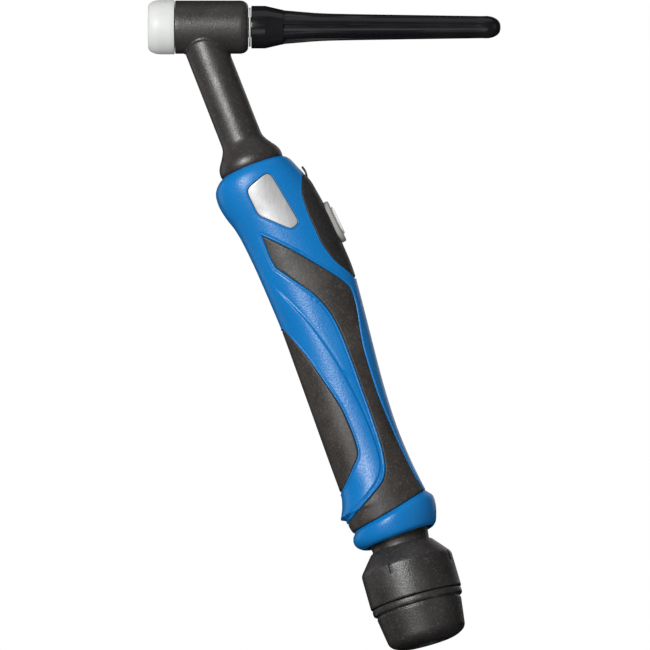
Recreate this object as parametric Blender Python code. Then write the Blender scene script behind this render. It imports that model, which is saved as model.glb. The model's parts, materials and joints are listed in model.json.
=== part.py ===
"""TIG welding torch: fixed head with a long back cap, a two-shell handle with soft
inlays and a push key, and a swivelling cable boot on a ball joint.

Frame: +X runs along the head from the white insulator to the back cap, +Z is up, and
the torch is symmetric about Y = 0. The origin is on the handle's axis at the grip.
Sizes below are in millimetres and degrees. Places on the handle are given as (s, u, y):
s is the distance down the handle's axis from the head's axis, u is the distance from
that axis towards the key, and y is across. Places on the head are (x, r), with x from
the crossing of the two axes; places on the boot are (t, r), with t down the boot's axis
from the ball's centre.
"""
from math import asin, copysign, cos, pi, radians, sin, sqrt

import bmesh
import bpy
from mathutils import Matrix, Vector

MM = 0.001
GAP = 0.3                   # clearance between neighbouring pieces
ROUND = 24                  # segments round a large turned piece
SMALL = 14                  # segments round a small turned piece

# Axes
LEAN = 21.2                 # the handle's axis, from the vertical
BOOT_LEAN = 15.95           # the boot's axis at rest, from the vertical
GRIP_S = 165.0              # the grip's centre, where the origin is
BALL_S, BALL_U = 245.5, 1.4

# Handle outline: (s, distance from the handle's axis)
BACK = [(70.9, 15.5), (71.9, 17.0), (73.4, 18.6), (75, 19.8), (77.1, 20.5), (80, 20.8),
        (83, 20.65), (86.2, 20.05), (89.5, 19.2), (92.8, 18.15), (96, 17.45), (100, 16.85),
        (105, 16.35), (113, 15.75), (123, 15.3), (135, 14.9), (143, 14.7), (151, 14.8),
        (163, 15.1), (178, 15.5), (194, 15.95), (210, 16.4), (222, 16.65), (226, 16.85),
        (229.3, 17.7), (232.7, 19.05), (236.4, 21.1)]
BACK_REAR = [(237.2, 19.2), (239.6, 18.7), (241.5, 18.6), (243.7, 18.0), (246, 17.2)]
FRONT = [(70.9, 15.7), (72.6, 17.3), (74.4, 18.2), (77, 19.2), (81, 20.8), (84.4, 22.3),
         (86.6, 22.95), (89.8, 23.45), (96, 24.3), (105, 25.2), (112, 25.6), (119.5, 25.9),
         (127.5, 26.15), (133, 25.95), (139, 25.35), (147, 24.4), (158, 23.05), (169, 21.65),
         (181, 20.2), (190, 19.35), (200, 18.65), (208, 18.35), (216, 18.45), (224, 18.8),
         (232, 19.45), (238, 20.0), (246, 20.0)]
HALF_WIDTH = [(70.9, 15.6), (72.6, 16.8), (75.5, 17.6), (82, 17.8), (95, 16.9), (110, 16.2),
              (130, 15.8), (160, 15.4), (190, 15.6), (210, 16.3), (225, 17.3),
              (236, 18.4), (246, 18.5)]
TAIL_S = 236.4              # the pointed flare at the handle's back ends here
FULLNESS = 0.89             # 1 makes each section an ellipse, less makes it fuller

# Handle shells
WALL = 3.2
SPLIT = GAP / 2             # each shell stops this far from Y = 0
RIM_S = 70.9                # the front edge
SHELL_END = 246.0
SPIGOT_R, SPIGOT_FROM = 17.2, 232.0     # the rear spigot, inside the collar
SHELL_S = (RIM_S, 71.6, 73, 75, 79.5, 86, 94, 104, 116, 131, 148, 165, 184, 202, 216, 226,
           231.5, TAIL_S, 237.2, 243, SHELL_END)
SHELL_STEPS = 10            # facets round half a section
# Bores round the neck's bulb, with a rib that sits in the neck's groove: (s, radius)
FRONT_BORES = [(RIM_S, 14.6), (73.6, 14.6), (73.7, 12.8), (76.3, 12.8), (76.4, 14.6), (80, 14.6)]
WALL_S = (84, 94, 108, 130, 155, 185, 222)      # where the inside follows the outside
SOCKET_S = (234.5, 237.5, 240.5, 243, BALL_S)   # where the inside is the ball's socket
WINDOW_S, WINDOW_U, WINDOW_HALF = (95.5, 119), (12, 32), 6.4    # the switch's opening
FAR = 30.0                  # past every surface of the handle, for cutters

# Soft inlays, plates and the switch cover
GRIP_THICK = 1.5
PLATE_THICK = 0.8
COVER_THICK = 1.9
CORNER_ROUND = 2.2          # cut off the label plate's corners
SIDE_GRIP_FRONT = [(102.9, -8.2), (113, 1.2), (122.7, 9.3), (132.4, 17.2), (135.9, 19.6),
                   (139.9, 21.4), (148.3, 20.9), (164.5, 17.4), (176.5, 16.1),
                   (191.6, 15.3), (207.5, 15.7), (220.3, 16.4), (232, 17.6)]
SIDE_GRIP_CORNER = 18.2     # reach of the grip's front corner at the collar
SIDE_GRIP_BACK = [(239.6, -22), (238.8, -17.1), (232.2, -3.6), (226.8, 3.8), (216.7, 7.3),
                  (200.9, 8.6), (185.7, 9.1), (171.9, 9.5), (157.8, 9.4), (147.4, 8.1),
                  (137.5, 4.4), (128.4, -1.5), (119.1, -7.6), (113.0, -8.3)]
PALM_GRIP_EDGE = [(145.3, -19), (145.6, -14), (153.4, -11.7), (163.3, -8.7), (176.7, -5.7),
                  (189.2, -3.0), (199.3, -2.4), (207.1, -2.5), (213.4, -3.8), (218.1, -8.3),
                  (221.5, -11.8), (224.5, -15.6), (225.2, -19)]
PALM_BACK = -24.0           # behind the handle's back
PLATE_CORNERS = [(77.1, 3.8), (78.7, 6.2), (103.9, 10.3), (105.8, 5.6), (94.3, -6.3),
                 (82.8, -7.4), (80.7, -6.2)]
COVER_EDGE = [(81.2, 27), (81.6, 20.6), (85.4, 18.5), (89.6, 16.8), (93.5, 15.8),
              (102.7, 15.4), (109, 15.8), (115.6, 16.1), (121.6, 17.6), (126.5, 19.4),
              (131.3, 22.5), (134.5, 24.6), (135.2, 29)]
COVER_FRONT = 32.0          # in front of the handle's front
TAB_OUTLINE = [(83.2, 21.0), (81.6, 20.9), (81.4, 21.4), (80.4, 21.35), (79.2, 21.2),
               (77.8, 21.0), (77.8, 21.7), (79.2, 21.95), (80.6, 22.05), (82, 22.2),
               (83.2, 22.3)]
TAB_HALF_WIDTH = 2.0

# Shell screws, driven from the +Y side: (s, u, y of the boss's root, y of the head's seat)
SCREWS = [(90, 12.7, 11.3, 11.6), (150, -7.5, 10.4, 10.7), (223.5, -8.2, 12.9, 13.2)]
BOSS_R = 2.9
SCREW_R, SCREW_HEAD_R, SCREW_HEAD_H, SCREW_REACH = 1.2, 2.2, 1.6, 7.0
SCREW_TIP_R, SCREW_TIP_H, HEAD_EDGE_R, HEAD_EDGE_H = 0.9, 0.5, 1.7, 0.4
HEX_R, HEX_FLOOR = 0.75, 0.6        # the hexagon socket and the metal left under it

# Rear collar: (s at back, reach at back, s at front, reach at front, half width, dip)
COLLAR_RINGS = [(244.2, 17.3, 237.8, 19.9, 18.4, 1.8), (245.0, 17.6, 239.2, 20.9, 19.3, 1.5),
                (246.4, 18.8, 241.2, 22.2, 20.2, 1.1), (248.6, 19.4, 244.5, 22.1, 20.3, 0.9),
                (250.8, 18.8, 248.5, 21.0, 19.9, 0.7), (252.6, 17.0, 252.4, 19.3, 18.8, 0.5),
                (253.3, 15.4, 254.0, 17.1, 16.8, 0.4)]
COLLAR_BORE, COLLAR_MOUTH, COLLAR_LIP_S = 17.5, 15.9, 252.1
COLLAR_INSIDE = (230, 260)  # from above the collar to below it

# Ball joint and boot
BALL_R, SLEEVE_BORE, SLEEVE_NECK = 15.4, 10.4, 13.9
SLEEVE_TOP = -9.0           # the ball's upper end
SLEEVE_FOOT = [(11.4, 13.35), (15.2, 13.35), (17.3, 15.0), (18.6, 15.0)]
SEAT_FROM, SEAT_WRAP, SEAT_TO, SEAT_MOUTH = 0.8, 4.4, 6.3, 15.9
BOOT_PROFILE = [(11.9, 13.75), (12.3, 14.2), (20.2, 20.9), (21, 21.25), (36.4, 21.4),
                (36.9, 21.2), (36.9, 18.5), (22, 18.4), (13.2, 13.7)]
SLOT_WIDTH, SLOT_FROM, SLOT_TO, SLOT_TURN, SLOT_FLOOR = 1.8, 20.9, 25.5, 22.5, 20.1
CUP_PROFILE = [(29, 18.2), (37.2, 18.2), (37.2, 20.5), (37.8, 21), (39.7, 21), (40.4, 20.5),
               (40.8, 19.6), (41.4, 19.6), (41.9, 19.85), (54.6, 18.05), (55.9, 17.2),
               (57.1, 15.3), (58, 12.9), (58.4, 10.5), (58.4, 7.5), (55.9, 7.5), (52.5, 15.2),
               (29, 15.2)]

# Head, neck and cap
HEAD_R, HEAD_FRONT, HEAD_REAR = 12.25, -10.2, 23.4
HEAD_EDGE, HEAD_REAR_R, HEAD_REAR_BEND = 0.4, 9.3, 3.8      # front edge, rounded rear end
INSULATOR_FRONT, INSULATOR_R, INSULATOR_TIP_R, INSULATOR_BEND = -22.6, 12.5, 9.4, 5.9
INSULATOR_BORE, INSULATOR_SPIGOT, INSULATOR_END = 5.4, 8.9, -7.3
SPIGOT_RECESS = (9.2, -12.0, -7.0)          # radius, from, to
CORE_FRONT, CORE_R, CORE_BORE, CORE_WEB, CORE_THREAD = -6.7, 7.5, 4.7, 3.4, 4.9
CORE_STEPS = (6.0, 9.0)     # the web between the core's two bores
NECK_R, TUBE_R, TUBE_BORE, STUD_HEX = 9.6, 4.0, 2.6, 7.2
NECK_PROFILE = [(2, 0), (2, NECK_R), (55, NECK_R), (57.5, 9.8), (59, 10.35), (60.5, 11.15),
                (62.4, 12.35), (64.2, 13.65), (66, 14.6), (67.6, 15), (69.2, 15.05),
                (70.2, 14.85), (70.7, 14.3), (73.3, 14.3), (73.3, 12.5), (76.7, 12.5),
                (76.7, 14.3), (80, 14.3), (80, 0)]
TUBE_SPACE, TUBE_S = (4, 82), (10.2, 80)
STUD_PROFILE = [(80.3, STUD_HEX), (86.5, STUD_HEX), (86.5, 4.5), (94.4, 4.5), (95, 3.9),
                (95, TUBE_BORE), (80.3, TUBE_BORE)]
STUD_FLATS, FLATS_SHARE = (79, 96), 0.95
SEAL_R, SEAL_BORE = 9.0, 5.2
CAP_FACE, CAP_BORE, CAP_BORE_END, CAP_TIP = 24.8, 3.1, 133.0, 139.4
CAP_PROFILE = [(CAP_BORE_END, 0), (CAP_BORE_END, CAP_BORE), (11, CAP_BORE), (11, 4.3),
               (11.6, 4.6), (CAP_FACE, 4.6), (CAP_FACE, 9.3), (25.2, 9.7), (31.3, 9.7),
               (31.7, 9.3), (33.6, 8.75), (36, 8.3), (39.4, 7.95), (47.4, 7.25), (56.6, 6.55),
               (70.4, 6.06), (98, 5.55), (132.5, 5.0), (134.8, 4.7), (137.1, 3.9),
               (138.7, 2.5), (CAP_TIP, 0)]
QUARTER = tuple(radians(d) for d in (0, 30, 60, 90))

# Key, on its own axis: x down the handle, y across, z out of the front surface
KEY_S, KEY_U, KEY_TILT = 107.25, 25.6, 4.5
BEZEL_SIZE, BEZEL_BORE, BEZEL_TOP, BEZEL_FOOT = (20.4, 11.0), (14.4, 7.4), 1.8, -2.4
BEZEL_SPACE = (-12.0, 6.0)  # the opening through the cover, along z
KEY_SIZE, KEY_FLANGE, KEY_TOP = (13.8, 6.8), (16.0, 8.4), 2.6
FLANGE_Z, BLEND = (-3.7, -2.7), 0.5     # BLEND is how far joined pieces run into each other
STEM_R, STEM_END = 1.2, -6.2
RIB_OUTLINE = [(4.6, -1.2), (5.8, -1.2), (5.8, -14), (3.5, -14), (3.5, -7.7), (4.6, -7.7)]
RIB_X = (-9.0, 8.0)
SWITCH_X, SWITCH_Y, SWITCH_Z = (-11.0, 9.0), 3.2, (-16.5, -8.0)
PLUNGER_R, PLUNGER_Z, PLUNGER_HOLE = 1.1, (-9.6, -6.5), -11.1
TERMINAL_X, TERMINAL_Z, TERMINAL_SIZE = (-5.0, 5.0), (-19.3, -16.8), (0.4, 1.6)
SPRING_R, SPRING_WIRE, SPRING_TURNS, SPRING_STEPS = 2.3, 0.28, 3.5, 35

# Control leads: from a terminal (x, z, y) in the key's axes, then (s, u, y) to the plug
LEAD_START = [(0, -0.35, 0), (0, -1.3, 0), (1.0, -2.0, 0.6), (3.5, -2.4, 1.6)]
LEAD_ROUTE = [(122, 5.8, 3.4), (131, 8.6, 4.2), (143, 11.5, 4.0), (156, 12.9, 3.2),
              (167, 13.1, 2.0), (174.2, 13.1, 1.8)]
LEAD_R = 0.65
PLUG_S, PLUG_U, PLUG_HALF = (174.5, 188.5), (10.6, 15.6), 3.5
PLUG_SOCKET_S, PLUG_SOCKET_U, PLUG_SOCKET_Y = (181.5, 189.5), (12.1, 14.1), (0.8, 2.8)


# ---------------------------------------------------------------- scene and frames
def clear_scene():
    for old in list(bpy.data.objects):
        bpy.data.objects.remove(old, do_unlink=True)


def make_frame(name, matrix):
    empty = bpy.data.objects.new(name, None)
    bpy.context.collection.objects.link(empty)
    empty.matrix_world = matrix
    return empty


def on_handle(s, u, y=0.0):
    """A handle place in the handle frame's own axes."""
    return Vector((u, y, GRIP_S - s))


def from_key(x, z):
    """The (s, u) place of a point on the key's middle plane."""
    tilt = radians(KEY_TILT)
    return (KEY_S + x * cos(tilt) - z * sin(tilt), KEY_U + x * sin(tilt) + z * cos(tilt))


def make_frames():
    """Empties on the handle's, head's and boot's axes and on the key's line of travel."""
    handle = Matrix.Rotation(radians(-LEAN), 4, "Y")
    crossing = handle @ on_handle(0, 0)
    ball = handle @ on_handle(BALL_S, BALL_U)
    key = handle @ on_handle(KEY_S, KEY_U)
    key_turn = Matrix.Rotation(radians(90 - LEAN - KEY_TILT), 4, "Y")
    boot_turn = Matrix.Rotation(radians(180 - BOOT_LEAN), 4, "Y")
    return {
        "handle": make_frame("handle_axis", handle),
        "head": make_frame("head_axis", Matrix.Translation(crossing * MM)
                           @ Matrix.Rotation(radians(90), 4, "Y")),
        "ball": make_frame("ball_centre", Matrix.Translation(ball * MM) @ handle),
        "boot": make_frame("boot_axis", Matrix.Translation(ball * MM) @ boot_turn),
        "key": make_frame("key_axis", Matrix.Translation(key * MM) @ key_turn),
    }


# ---------------------------------------------------------------- materials
def make_material(name, colour, roughness, metallic=0.0):
    material = bpy.data.materials.new(name)
    material.use_nodes = True
    shader = material.node_tree.nodes["Principled BSDF"]
    shader.inputs["Base Color"].default_value = (*colour, 1.0)
    shader.inputs["Roughness"].default_value = roughness
    shader.inputs["Metallic"].default_value = metallic
    material.diffuse_color = (*colour, 1.0)
    return material


def make_materials():
    rows = {
        "handle_blue": ((0.0, 0.16, 0.55), 0.42),
        "soft_black": ((0.035, 0.032, 0.031), 0.75),
        "plate_silver": ((0.75, 0.76, 0.77), 0.35),
        "head_black": ((0.022, 0.021, 0.021), 0.5),
        "cap_black": ((0.014, 0.014, 0.015), 0.22),
        "insulator_white": ((0.82, 0.8, 0.76), 0.45),
        "seal_pale": ((0.62, 0.6, 0.56), 0.6),
        "boot_black": ((0.02, 0.02, 0.021), 0.55),
        "key_grey": ((0.58, 0.58, 0.57), 0.45),
        "bezel_grey": ((0.42, 0.42, 0.42), 0.5),
        "switch_black": ((0.03, 0.03, 0.03), 0.5),
        "nylon_white": ((0.75, 0.74, 0.7), 0.5),
        "lead_red": ((0.45, 0.03, 0.03), 0.5),
        "brass": ((0.62, 0.44, 0.16), 0.3, 1.0),
        "copper": ((0.72, 0.36, 0.2), 0.3, 1.0),
        "steel": ((0.55, 0.55, 0.56), 0.3, 1.0),
    }
    return {name: make_material(name, *row) for name, row in rows.items()}


# ---------------------------------------------------------------- mesh helpers
def link_mesh(name, frame, verts, faces, material=None):
    """A closed mesh from points in millimetres in a frame's own axes."""
    mesh = bpy.data.meshes.new(name)
    mesh.from_pydata([tuple(c * MM for c in v) for v in verts], [], faces)
    body = bmesh.new()
    body.from_mesh(mesh)
    bmesh.ops.recalc_face_normals(body, faces=body.faces)
    body.to_mesh(mesh)
    body.free()
    made = bpy.data.objects.new(name, mesh)
    bpy.context.collection.objects.link(made)
    made.parent = frame
    if material:
        mesh.materials.append(material)
    else:
        made.hide_render = True
        made.display_type = "WIRE"
    return made


def shade_round(made, angle=35):
    made.data.shade_smooth()
    made.data.set_sharp_from_angle(angle=radians(angle))


def boolean(target, other, operation="DIFFERENCE"):
    modifier = target.modifiers.new(other.name, "BOOLEAN")
    modifier.operation = operation
    modifier.solver = "EXACT"
    modifier.object = other


def ring_faces(rings, count):
    """Quads between neighbouring rings of the same count, first to last and round."""
    faces = []
    for row in range(len(rings) - 1):
        for i in range(count):
            j = (i + 1) % count
            faces.append((rings[row] + i, rings[row] + j, rings[row + 1] + j, rings[row + 1] + i))
    return faces


def turned(name, frame, profile, segments=ROUND, material=None, centre=(0.0, 0.0)):
    """Turn a profile of (along, radius) about the frame's Z axis. A profile that starts
    and ends on the axis makes a solid piece, any other is closed into a ring."""
    verts, rings, faces = [], [], []
    solid = profile[0][1] == 0 and profile[-1][1] == 0
    for z, r in (profile[1:-1] if solid else profile):
        rings.append(len(verts))
        for i in range(segments):
            a = 2 * pi * i / segments
            verts.append((centre[0] + r * cos(a), centre[1] + r * sin(a), z))
    if solid:
        for end, start in ((profile[0], rings[0]), (profile[-1], rings[-1])):
            tip = len(verts)
            verts.append((centre[0], centre[1], end[0]))
            faces += [(tip, start + i, start + (i + 1) % segments) for i in range(segments)]
    else:
        rings.append(rings[0])
    faces += ring_faces(rings, segments)
    made = link_mesh(name, frame, verts, faces, material)
    shade_round(made)
    return made


def lofted(name, frame, rings, material=None):
    """A solid through closed rings of points, with a fan over each end."""
    count = len(rings[0])
    verts = [point for ring in rings for point in ring]
    starts = [count * row for row in range(len(rings))]
    faces = ring_faces(starts, count)
    for ring, start in ((rings[0], starts[0]), (rings[-1], starts[-1])):
        tip = len(verts)
        verts.append(tuple(sum(point[k] for point in ring) / count for k in range(3)))
        faces += [(tip, start + i, start + (i + 1) % count) for i in range(count)]
    made = link_mesh(name, frame, verts, faces, material)
    shade_round(made)
    return made


def extruded(name, frame, outline, low, high, along=1, material=None):
    """Extrude an outline along a local axis. The outline holds the other two
    coordinates, in order."""
    verts = []
    for level in (low, high):
        for a, b in outline:
            point = [a, b]
            point.insert(along, level)
            verts.append(point)
    n = len(outline)
    faces = [tuple(range(n)), tuple(range(n, 2 * n))] + ring_faces([0, n], n)
    return link_mesh(name, frame, verts, faces, material)


def handle_prism(name, frame, outline, low, high, material=None):
    """Extrude a handle outline of (s, u) points across the handle."""
    return extruded(name, frame, [(u, GRIP_S - s) for s, u in outline], low, high, 1, material)


def stadium(size, steps=8):
    """An oblong with round ends, long along x."""
    radius, half = size[1] / 2, (size[0] - size[1]) / 2
    points = []
    for side in (1, -1):
        for i in range(steps + 1):
            a = side * pi / 2 - pi * i / steps
            points.append((side * half + radius * cos(a), radius * sin(a)))
    return points


def hexagon(radius):
    return [(radius * cos(radians(60 * i)), radius * sin(radians(60 * i))) for i in range(6)]


def box_outline(x0, x1, y0, y1):
    return [(x0, y0), (x1, y0), (x1, y1), (x0, y1)]


# ---------------------------------------------------------------- curves
def slope(points, i):
    lo, hi = max(i - 1, 0), min(i + 1, len(points) - 1)
    return (points[hi][1] - points[lo][1]) / (points[hi][0] - points[lo][0])


def smooth_value(table, s):
    """The value at s on a smooth curve through a table's rows, held at both ends."""
    if s <= table[0][0]:
        return table[0][1]
    if s >= table[-1][0]:
        return table[-1][1]
    i = next(k for k in range(len(table) - 1) if s < table[k + 1][0])
    (s0, v0), (s1, v1) = table[i], table[i + 1]
    width = s1 - s0
    f = (s - s0) / width
    m0, m1 = slope(table, i) * width, slope(table, i + 1) * width
    return ((2 * f ** 3 - 3 * f ** 2 + 1) * v0 + (f ** 3 - 2 * f ** 2 + f) * m0
            + (3 * f ** 2 - 2 * f ** 3) * v1 + (f ** 3 - f ** 2) * m1)


def smooth_path(points, steps=2):
    """Points on a smooth curve through the given ones."""
    found = []
    for i in range(len(points) - 1):
        p0, p1, p2, p3 = (Vector(points[k]) for k in (max(i - 1, 0), i, i + 1,
                                                      min(i + 2, len(points) - 1)))
        for k in range(steps):
            f = k / steps
            found.append(0.5 * ((2 * p1) + (p2 - p0) * f + (2 * p0 - 5 * p1 + 4 * p2 - p3) * f ** 2
                                + (3 * p1 - p0 - 3 * p2 + p3) * f ** 3))
    return [tuple(p) for p in found] + [tuple(points[-1])]


def rounded(corners, radius, steps=3):
    """A closed outline with each corner replaced by a short arc."""
    points = []
    for i, corner in enumerate(corners):
        here = Vector(corner)
        before = (Vector(corners[i - 1]) - here)
        after = (Vector(corners[(i + 1) % len(corners)]) - here)
        cut = min(radius, before.length * 0.45, after.length * 0.45)
        start, end = here + before.normalized() * cut, here + after.normalized() * cut
        for k in range(steps + 1):
            f = k / steps
            points.append(tuple(start * (1 - f) ** 2 + here * 2 * f * (1 - f) + end * f ** 2))
    return points


def grown(outline, distance):
    """A closed outline moved outwards by a distance."""
    area = sum(a[0] * b[1] - b[0] * a[1] for a, b in zip(outline, outline[1:] + outline[:1]))
    turn = copysign(1, area)
    points = []
    for i, point in enumerate(outline):
        here = Vector(point)
        inward = (here - Vector(outline[i - 1])).normalized()
        onward = (Vector(outline[(i + 1) % len(outline)]) - here).normalized()
        normal = Vector((inward.y + onward.y, -inward.x - onward.x)).normalized() * turn
        spread = max(normal.dot(Vector((inward.y, -inward.x)) * turn), 0.5)
        points.append(tuple(here + normal * distance / spread))
    return points


# ---------------------------------------------------------------- handle surface
def back_reach(s):
    return smooth_value(BACK if s <= TAIL_S else BACK_REAR, s)


def section_point(s, angle, depth=0.0, power=FULLNESS):
    """A point of the handle's outer surface, moved inwards by depth. Angle 0 is the
    back, 90 the -Y side, 180 the front."""
    back, front = back_reach(s) - depth, smooth_value(FRONT, s) - depth
    half = smooth_value(HALF_WIDTH, s) - depth
    c, k = cos(angle), sin(angle)
    u = (front - back) / 2 - copysign(abs(c) ** power, c) * (front + back) / 2
    y = -copysign(abs(k) ** power, k) * half
    return on_handle(s, u, y)


def rear_edge(u):
    """Where the shells stop and the collar starts, as s at a given u."""
    f = min(max((u + COLLAR_RINGS[0][1]) / (COLLAR_RINGS[0][1] + COLLAR_RINGS[0][3]), 0), 1)
    level = COLLAR_RINGS[0][0] + (COLLAR_RINGS[0][2] - COLLAR_RINGS[0][0]) * f
    return level + COLLAR_RINGS[0][5] * 4 * f * (1 - f)


def rear_edge_line(back_u, front_u, lift, steps=8):
    """Points along the rear edge from back to front, moved up the handle by lift."""
    us = [back_u + (front_u - back_u) * i / steps for i in range(steps + 1)]
    return [(rear_edge(u) - lift, u) for u in us]


def side_grip_outline():
    front = smooth_path(SIDE_GRIP_FRONT)
    back = smooth_path(SIDE_GRIP_BACK[2:])
    edge = rear_edge_line(SIDE_GRIP_BACK[0][1], SIDE_GRIP_CORNER, GAP)
    return front + edge[::-1] + SIDE_GRIP_BACK[:2] + back


def palm_grip_outline():
    first, last = PALM_GRIP_EDGE[0], PALM_GRIP_EDGE[-1]
    return [first] + smooth_path(PALM_GRIP_EDGE[1:-1]) + [last, (last[0], PALM_BACK),
                                                          (first[0], PALM_BACK)]


def cover_outline():
    first, last = COVER_EDGE[0], COVER_EDGE[-1]
    return [first] + smooth_path(COVER_EDGE[1:-1]) + [last, (last[0], COVER_FRONT),
                                                      (first[0], COVER_FRONT)]


def plate_outline():
    return rounded(PLATE_CORNERS, CORNER_ROUND)


def band(name, frame, depth_out, depth_in):
    """The layer of the handle between two depths, as a tube over its whole length."""
    stations = [s for s in SHELL_S if s < SHELL_END]
    turns = 2 * SHELL_STEPS
    levels = [(s, depth_out) for s in stations] + [(s, depth_in) for s in stations[::-1]]
    verts, rings = [], []
    for s, depth in levels:
        rings.append(len(verts))
        verts += [section_point(s, 2 * pi * i / turns, depth) for i in range(turns)]
    return link_mesh(name, frame, verts, ring_faces(rings + rings[:1], turns))


def inner_ring(s, depth=None, radius=None, centre=0.0):
    """Half a section of a shell's inside, back to front on the -Y side."""
    points = []
    for i in range(SHELL_STEPS + 1):
        angle = pi * i / SHELL_STEPS
        if radius:
            point = on_handle(s, centre - radius * cos(angle), -radius * sin(angle))
        else:
            point = section_point(s, angle, depth)
        points.append(point)
    return points


def shell_body(name, frame, side, material):
    """One plain half shell, side -1 or +1, before its recesses are cut."""
    outer = [[section_point(s, pi * i / SHELL_STEPS) for i in range(SHELL_STEPS + 1)]
             for s in SHELL_S]
    inner = [inner_ring(s, radius=r) for s, r in FRONT_BORES]
    inner += [inner_ring(s, depth=WALL) for s in WALL_S]
    socket = BALL_R + GAP
    inner += [inner_ring(s, radius=sqrt(socket ** 2 - (s - BALL_S) ** 2), centre=BALL_U)
              for s in SOCKET_S]
    inner.append(inner_ring(SHELL_END, radius=socket, centre=BALL_U))
    count = SHELL_STEPS + 1
    rows = outer + inner[::-1]
    verts = []
    for row in rows:
        for point in row:
            verts.append((point.x, min(point.y, -SPLIT) * -side, point.z))
    faces = []
    for row in range(len(rows)):
        a, b = row * count, (row + 1) % len(rows) * count
        faces += [(a + i, a + i + 1, b + i + 1, b + i) for i in range(SHELL_STEPS)]
    for end in (0, SHELL_STEPS):
        faces.append(tuple(row * count + end for row in range(len(rows))))
    made = link_mesh(name, frame, verts, faces, material)
    shade_round(made, 30)
    return made


def cross_pin(name, frame, s, u, radius, low, high, segments=SMALL):
    """A round pin across the handle."""
    circle = [(s + radius * cos(2 * pi * i / segments), u + radius * sin(2 * pi * i / segments))
              for i in range(segments)]
    return handle_prism(name, frame, circle, low, high)


# ---------------------------------------------------------------- handle pieces
def make_cutters(frames):
    """Layers and prisms that the shells and their inlays are cut with."""
    handle = frames["handle"]
    tools = {}
    for name, outline, depth, reach in (
            ("palm_recess", palm_grip_outline(), GRIP_THICK, (-FAR, FAR)),
            ("cover_recess", cover_outline(), COVER_THICK, (-FAR, FAR)),
            ("side_recess_left", side_grip_outline(), GRIP_THICK, (-FAR, 1)),
            ("side_recess_right", side_grip_outline(), GRIP_THICK, (-1, FAR)),
            ("plate_recess_left", plate_outline(), PLATE_THICK, (-FAR, 0)),
            ("plate_recess_right", plate_outline(), PLATE_THICK, (0, FAR))):
        layer = band(name + "_layer", handle, -2, depth + GAP)
        prism = handle_prism(name, handle, grown(outline, GAP), *reach)
        boolean(prism, layer, "INTERSECT")
        tools[name] = prism
    end = SHELL_END + 6
    edge = rear_edge_line(-FAR, FAR, GAP, 20)
    below = handle_prism("rear_trim", handle, edge + [(end, FAR), (end, -FAR)], -FAR, FAR)
    keep = turned("spigot_space", handle, [(GRIP_S - end, 0), (GRIP_S - end, SPIGOT_R),
                                           (GRIP_S - SPIGOT_FROM, SPIGOT_R),
                                           (GRIP_S - SPIGOT_FROM, 0)],
                  ROUND, None, (BALL_U, 0))
    boolean(below, keep)
    tools["rear_trim"] = below
    tools["switch_window"] = handle_prism("switch_window", handle,
                                          box_outline(*WINDOW_S, *WINDOW_U),
                                          -WINDOW_HALF, WINDOW_HALF)
    return tools


def make_shell(name, frames, tools, side, material):
    handle = frames["handle"]
    shell = shell_body(name, handle, side, material)
    suffix = "left" if side < 0 else "right"
    for s, u, root, seat in SCREWS:
        low, high = sorted((side * SPLIT, side * root))
        boss = cross_pin(f"boss_{suffix}_{s:.0f}", handle, s, u, BOSS_R, low, high, 16)
        boolean(shell, boss, "UNION")
    for cutter in ("rear_trim", "switch_window", "palm_recess", "cover_recess",
                   "side_recess_" + suffix, "plate_recess_" + suffix):
        boolean(shell, tools[cutter])
    for s, u, root, seat in SCREWS:
        label = f"{suffix}_{s:.0f}"
        reach = (-SCREW_REACH - 1, 1) if side < 0 else (-1, FAR)
        boolean(shell, cross_pin("screw_hole_" + label, handle, s, u, SCREW_R + GAP, *reach, 12))
        if side > 0:
            boolean(shell, cross_pin("head_hole_" + label, handle, s, u, SCREW_HEAD_R + GAP,
                                     seat, FAR, 16))


def make_inlay(name, frames, layer_depth, outline, reach, material):
    """A piece of the handle's outer layer, cut out by an outline."""
    piece = handle_prism(name, frames["handle"], outline, *reach, material)
    boolean(piece, band(name + "_layer", frames["handle"], 0, layer_depth), "INTERSECT")
    return piece


def make_screw(number, frames, s, u, seat, material):
    """A pan-head screw across the handle, its head seated at y = seat."""
    turn = Matrix.Translation(on_handle(s, u) * MM) @ Matrix.Rotation(radians(-90), 4, "X")
    head_from = seat + GAP
    top = head_from + SCREW_HEAD_H
    profile = [(-SCREW_REACH, 0), (-SCREW_REACH, SCREW_TIP_R),
               (-SCREW_REACH + SCREW_TIP_H, SCREW_R), (head_from, SCREW_R),
               (head_from, SCREW_HEAD_R), (top - HEAD_EDGE_H, SCREW_HEAD_R),
               (top, HEAD_EDGE_R), (top, 0)]
    screw = turned(f"shell_screw_{number}", frames["handle"], profile, 12, material)
    screw.matrix_local = turn
    socket = extruded(f"screw_socket_{number}", frames["handle"], hexagon(HEX_R),
                      head_from + HEX_FLOOR, top + 1, 2)
    socket.matrix_local = turn
    boolean(screw, socket)


def make_handle(frames, materials):
    tools = make_cutters(frames)
    make_shell("handle_shell_left", frames, tools, -1, materials["handle_blue"])
    make_shell("handle_shell_right", frames, tools, 1, materials["handle_blue"])
    soft, silver = materials["soft_black"], materials["plate_silver"]
    make_inlay("side_grip_left", frames, GRIP_THICK, side_grip_outline(), (-FAR, -SPLIT), soft)
    make_inlay("side_grip_right", frames, GRIP_THICK, side_grip_outline(), (SPLIT, FAR), soft)
    make_inlay("palm_grip", frames, GRIP_THICK, palm_grip_outline(), (-FAR, FAR), soft)
    make_inlay("label_plate_left", frames, PLATE_THICK, plate_outline(), (-FAR, 0), silver)
    make_inlay("label_plate_right", frames, PLATE_THICK, plate_outline(), (0, FAR), silver)
    for number, (s, u, root, seat) in enumerate(SCREWS, 1):
        make_screw(number, frames, s, u, seat, materials["steel"])


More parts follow.
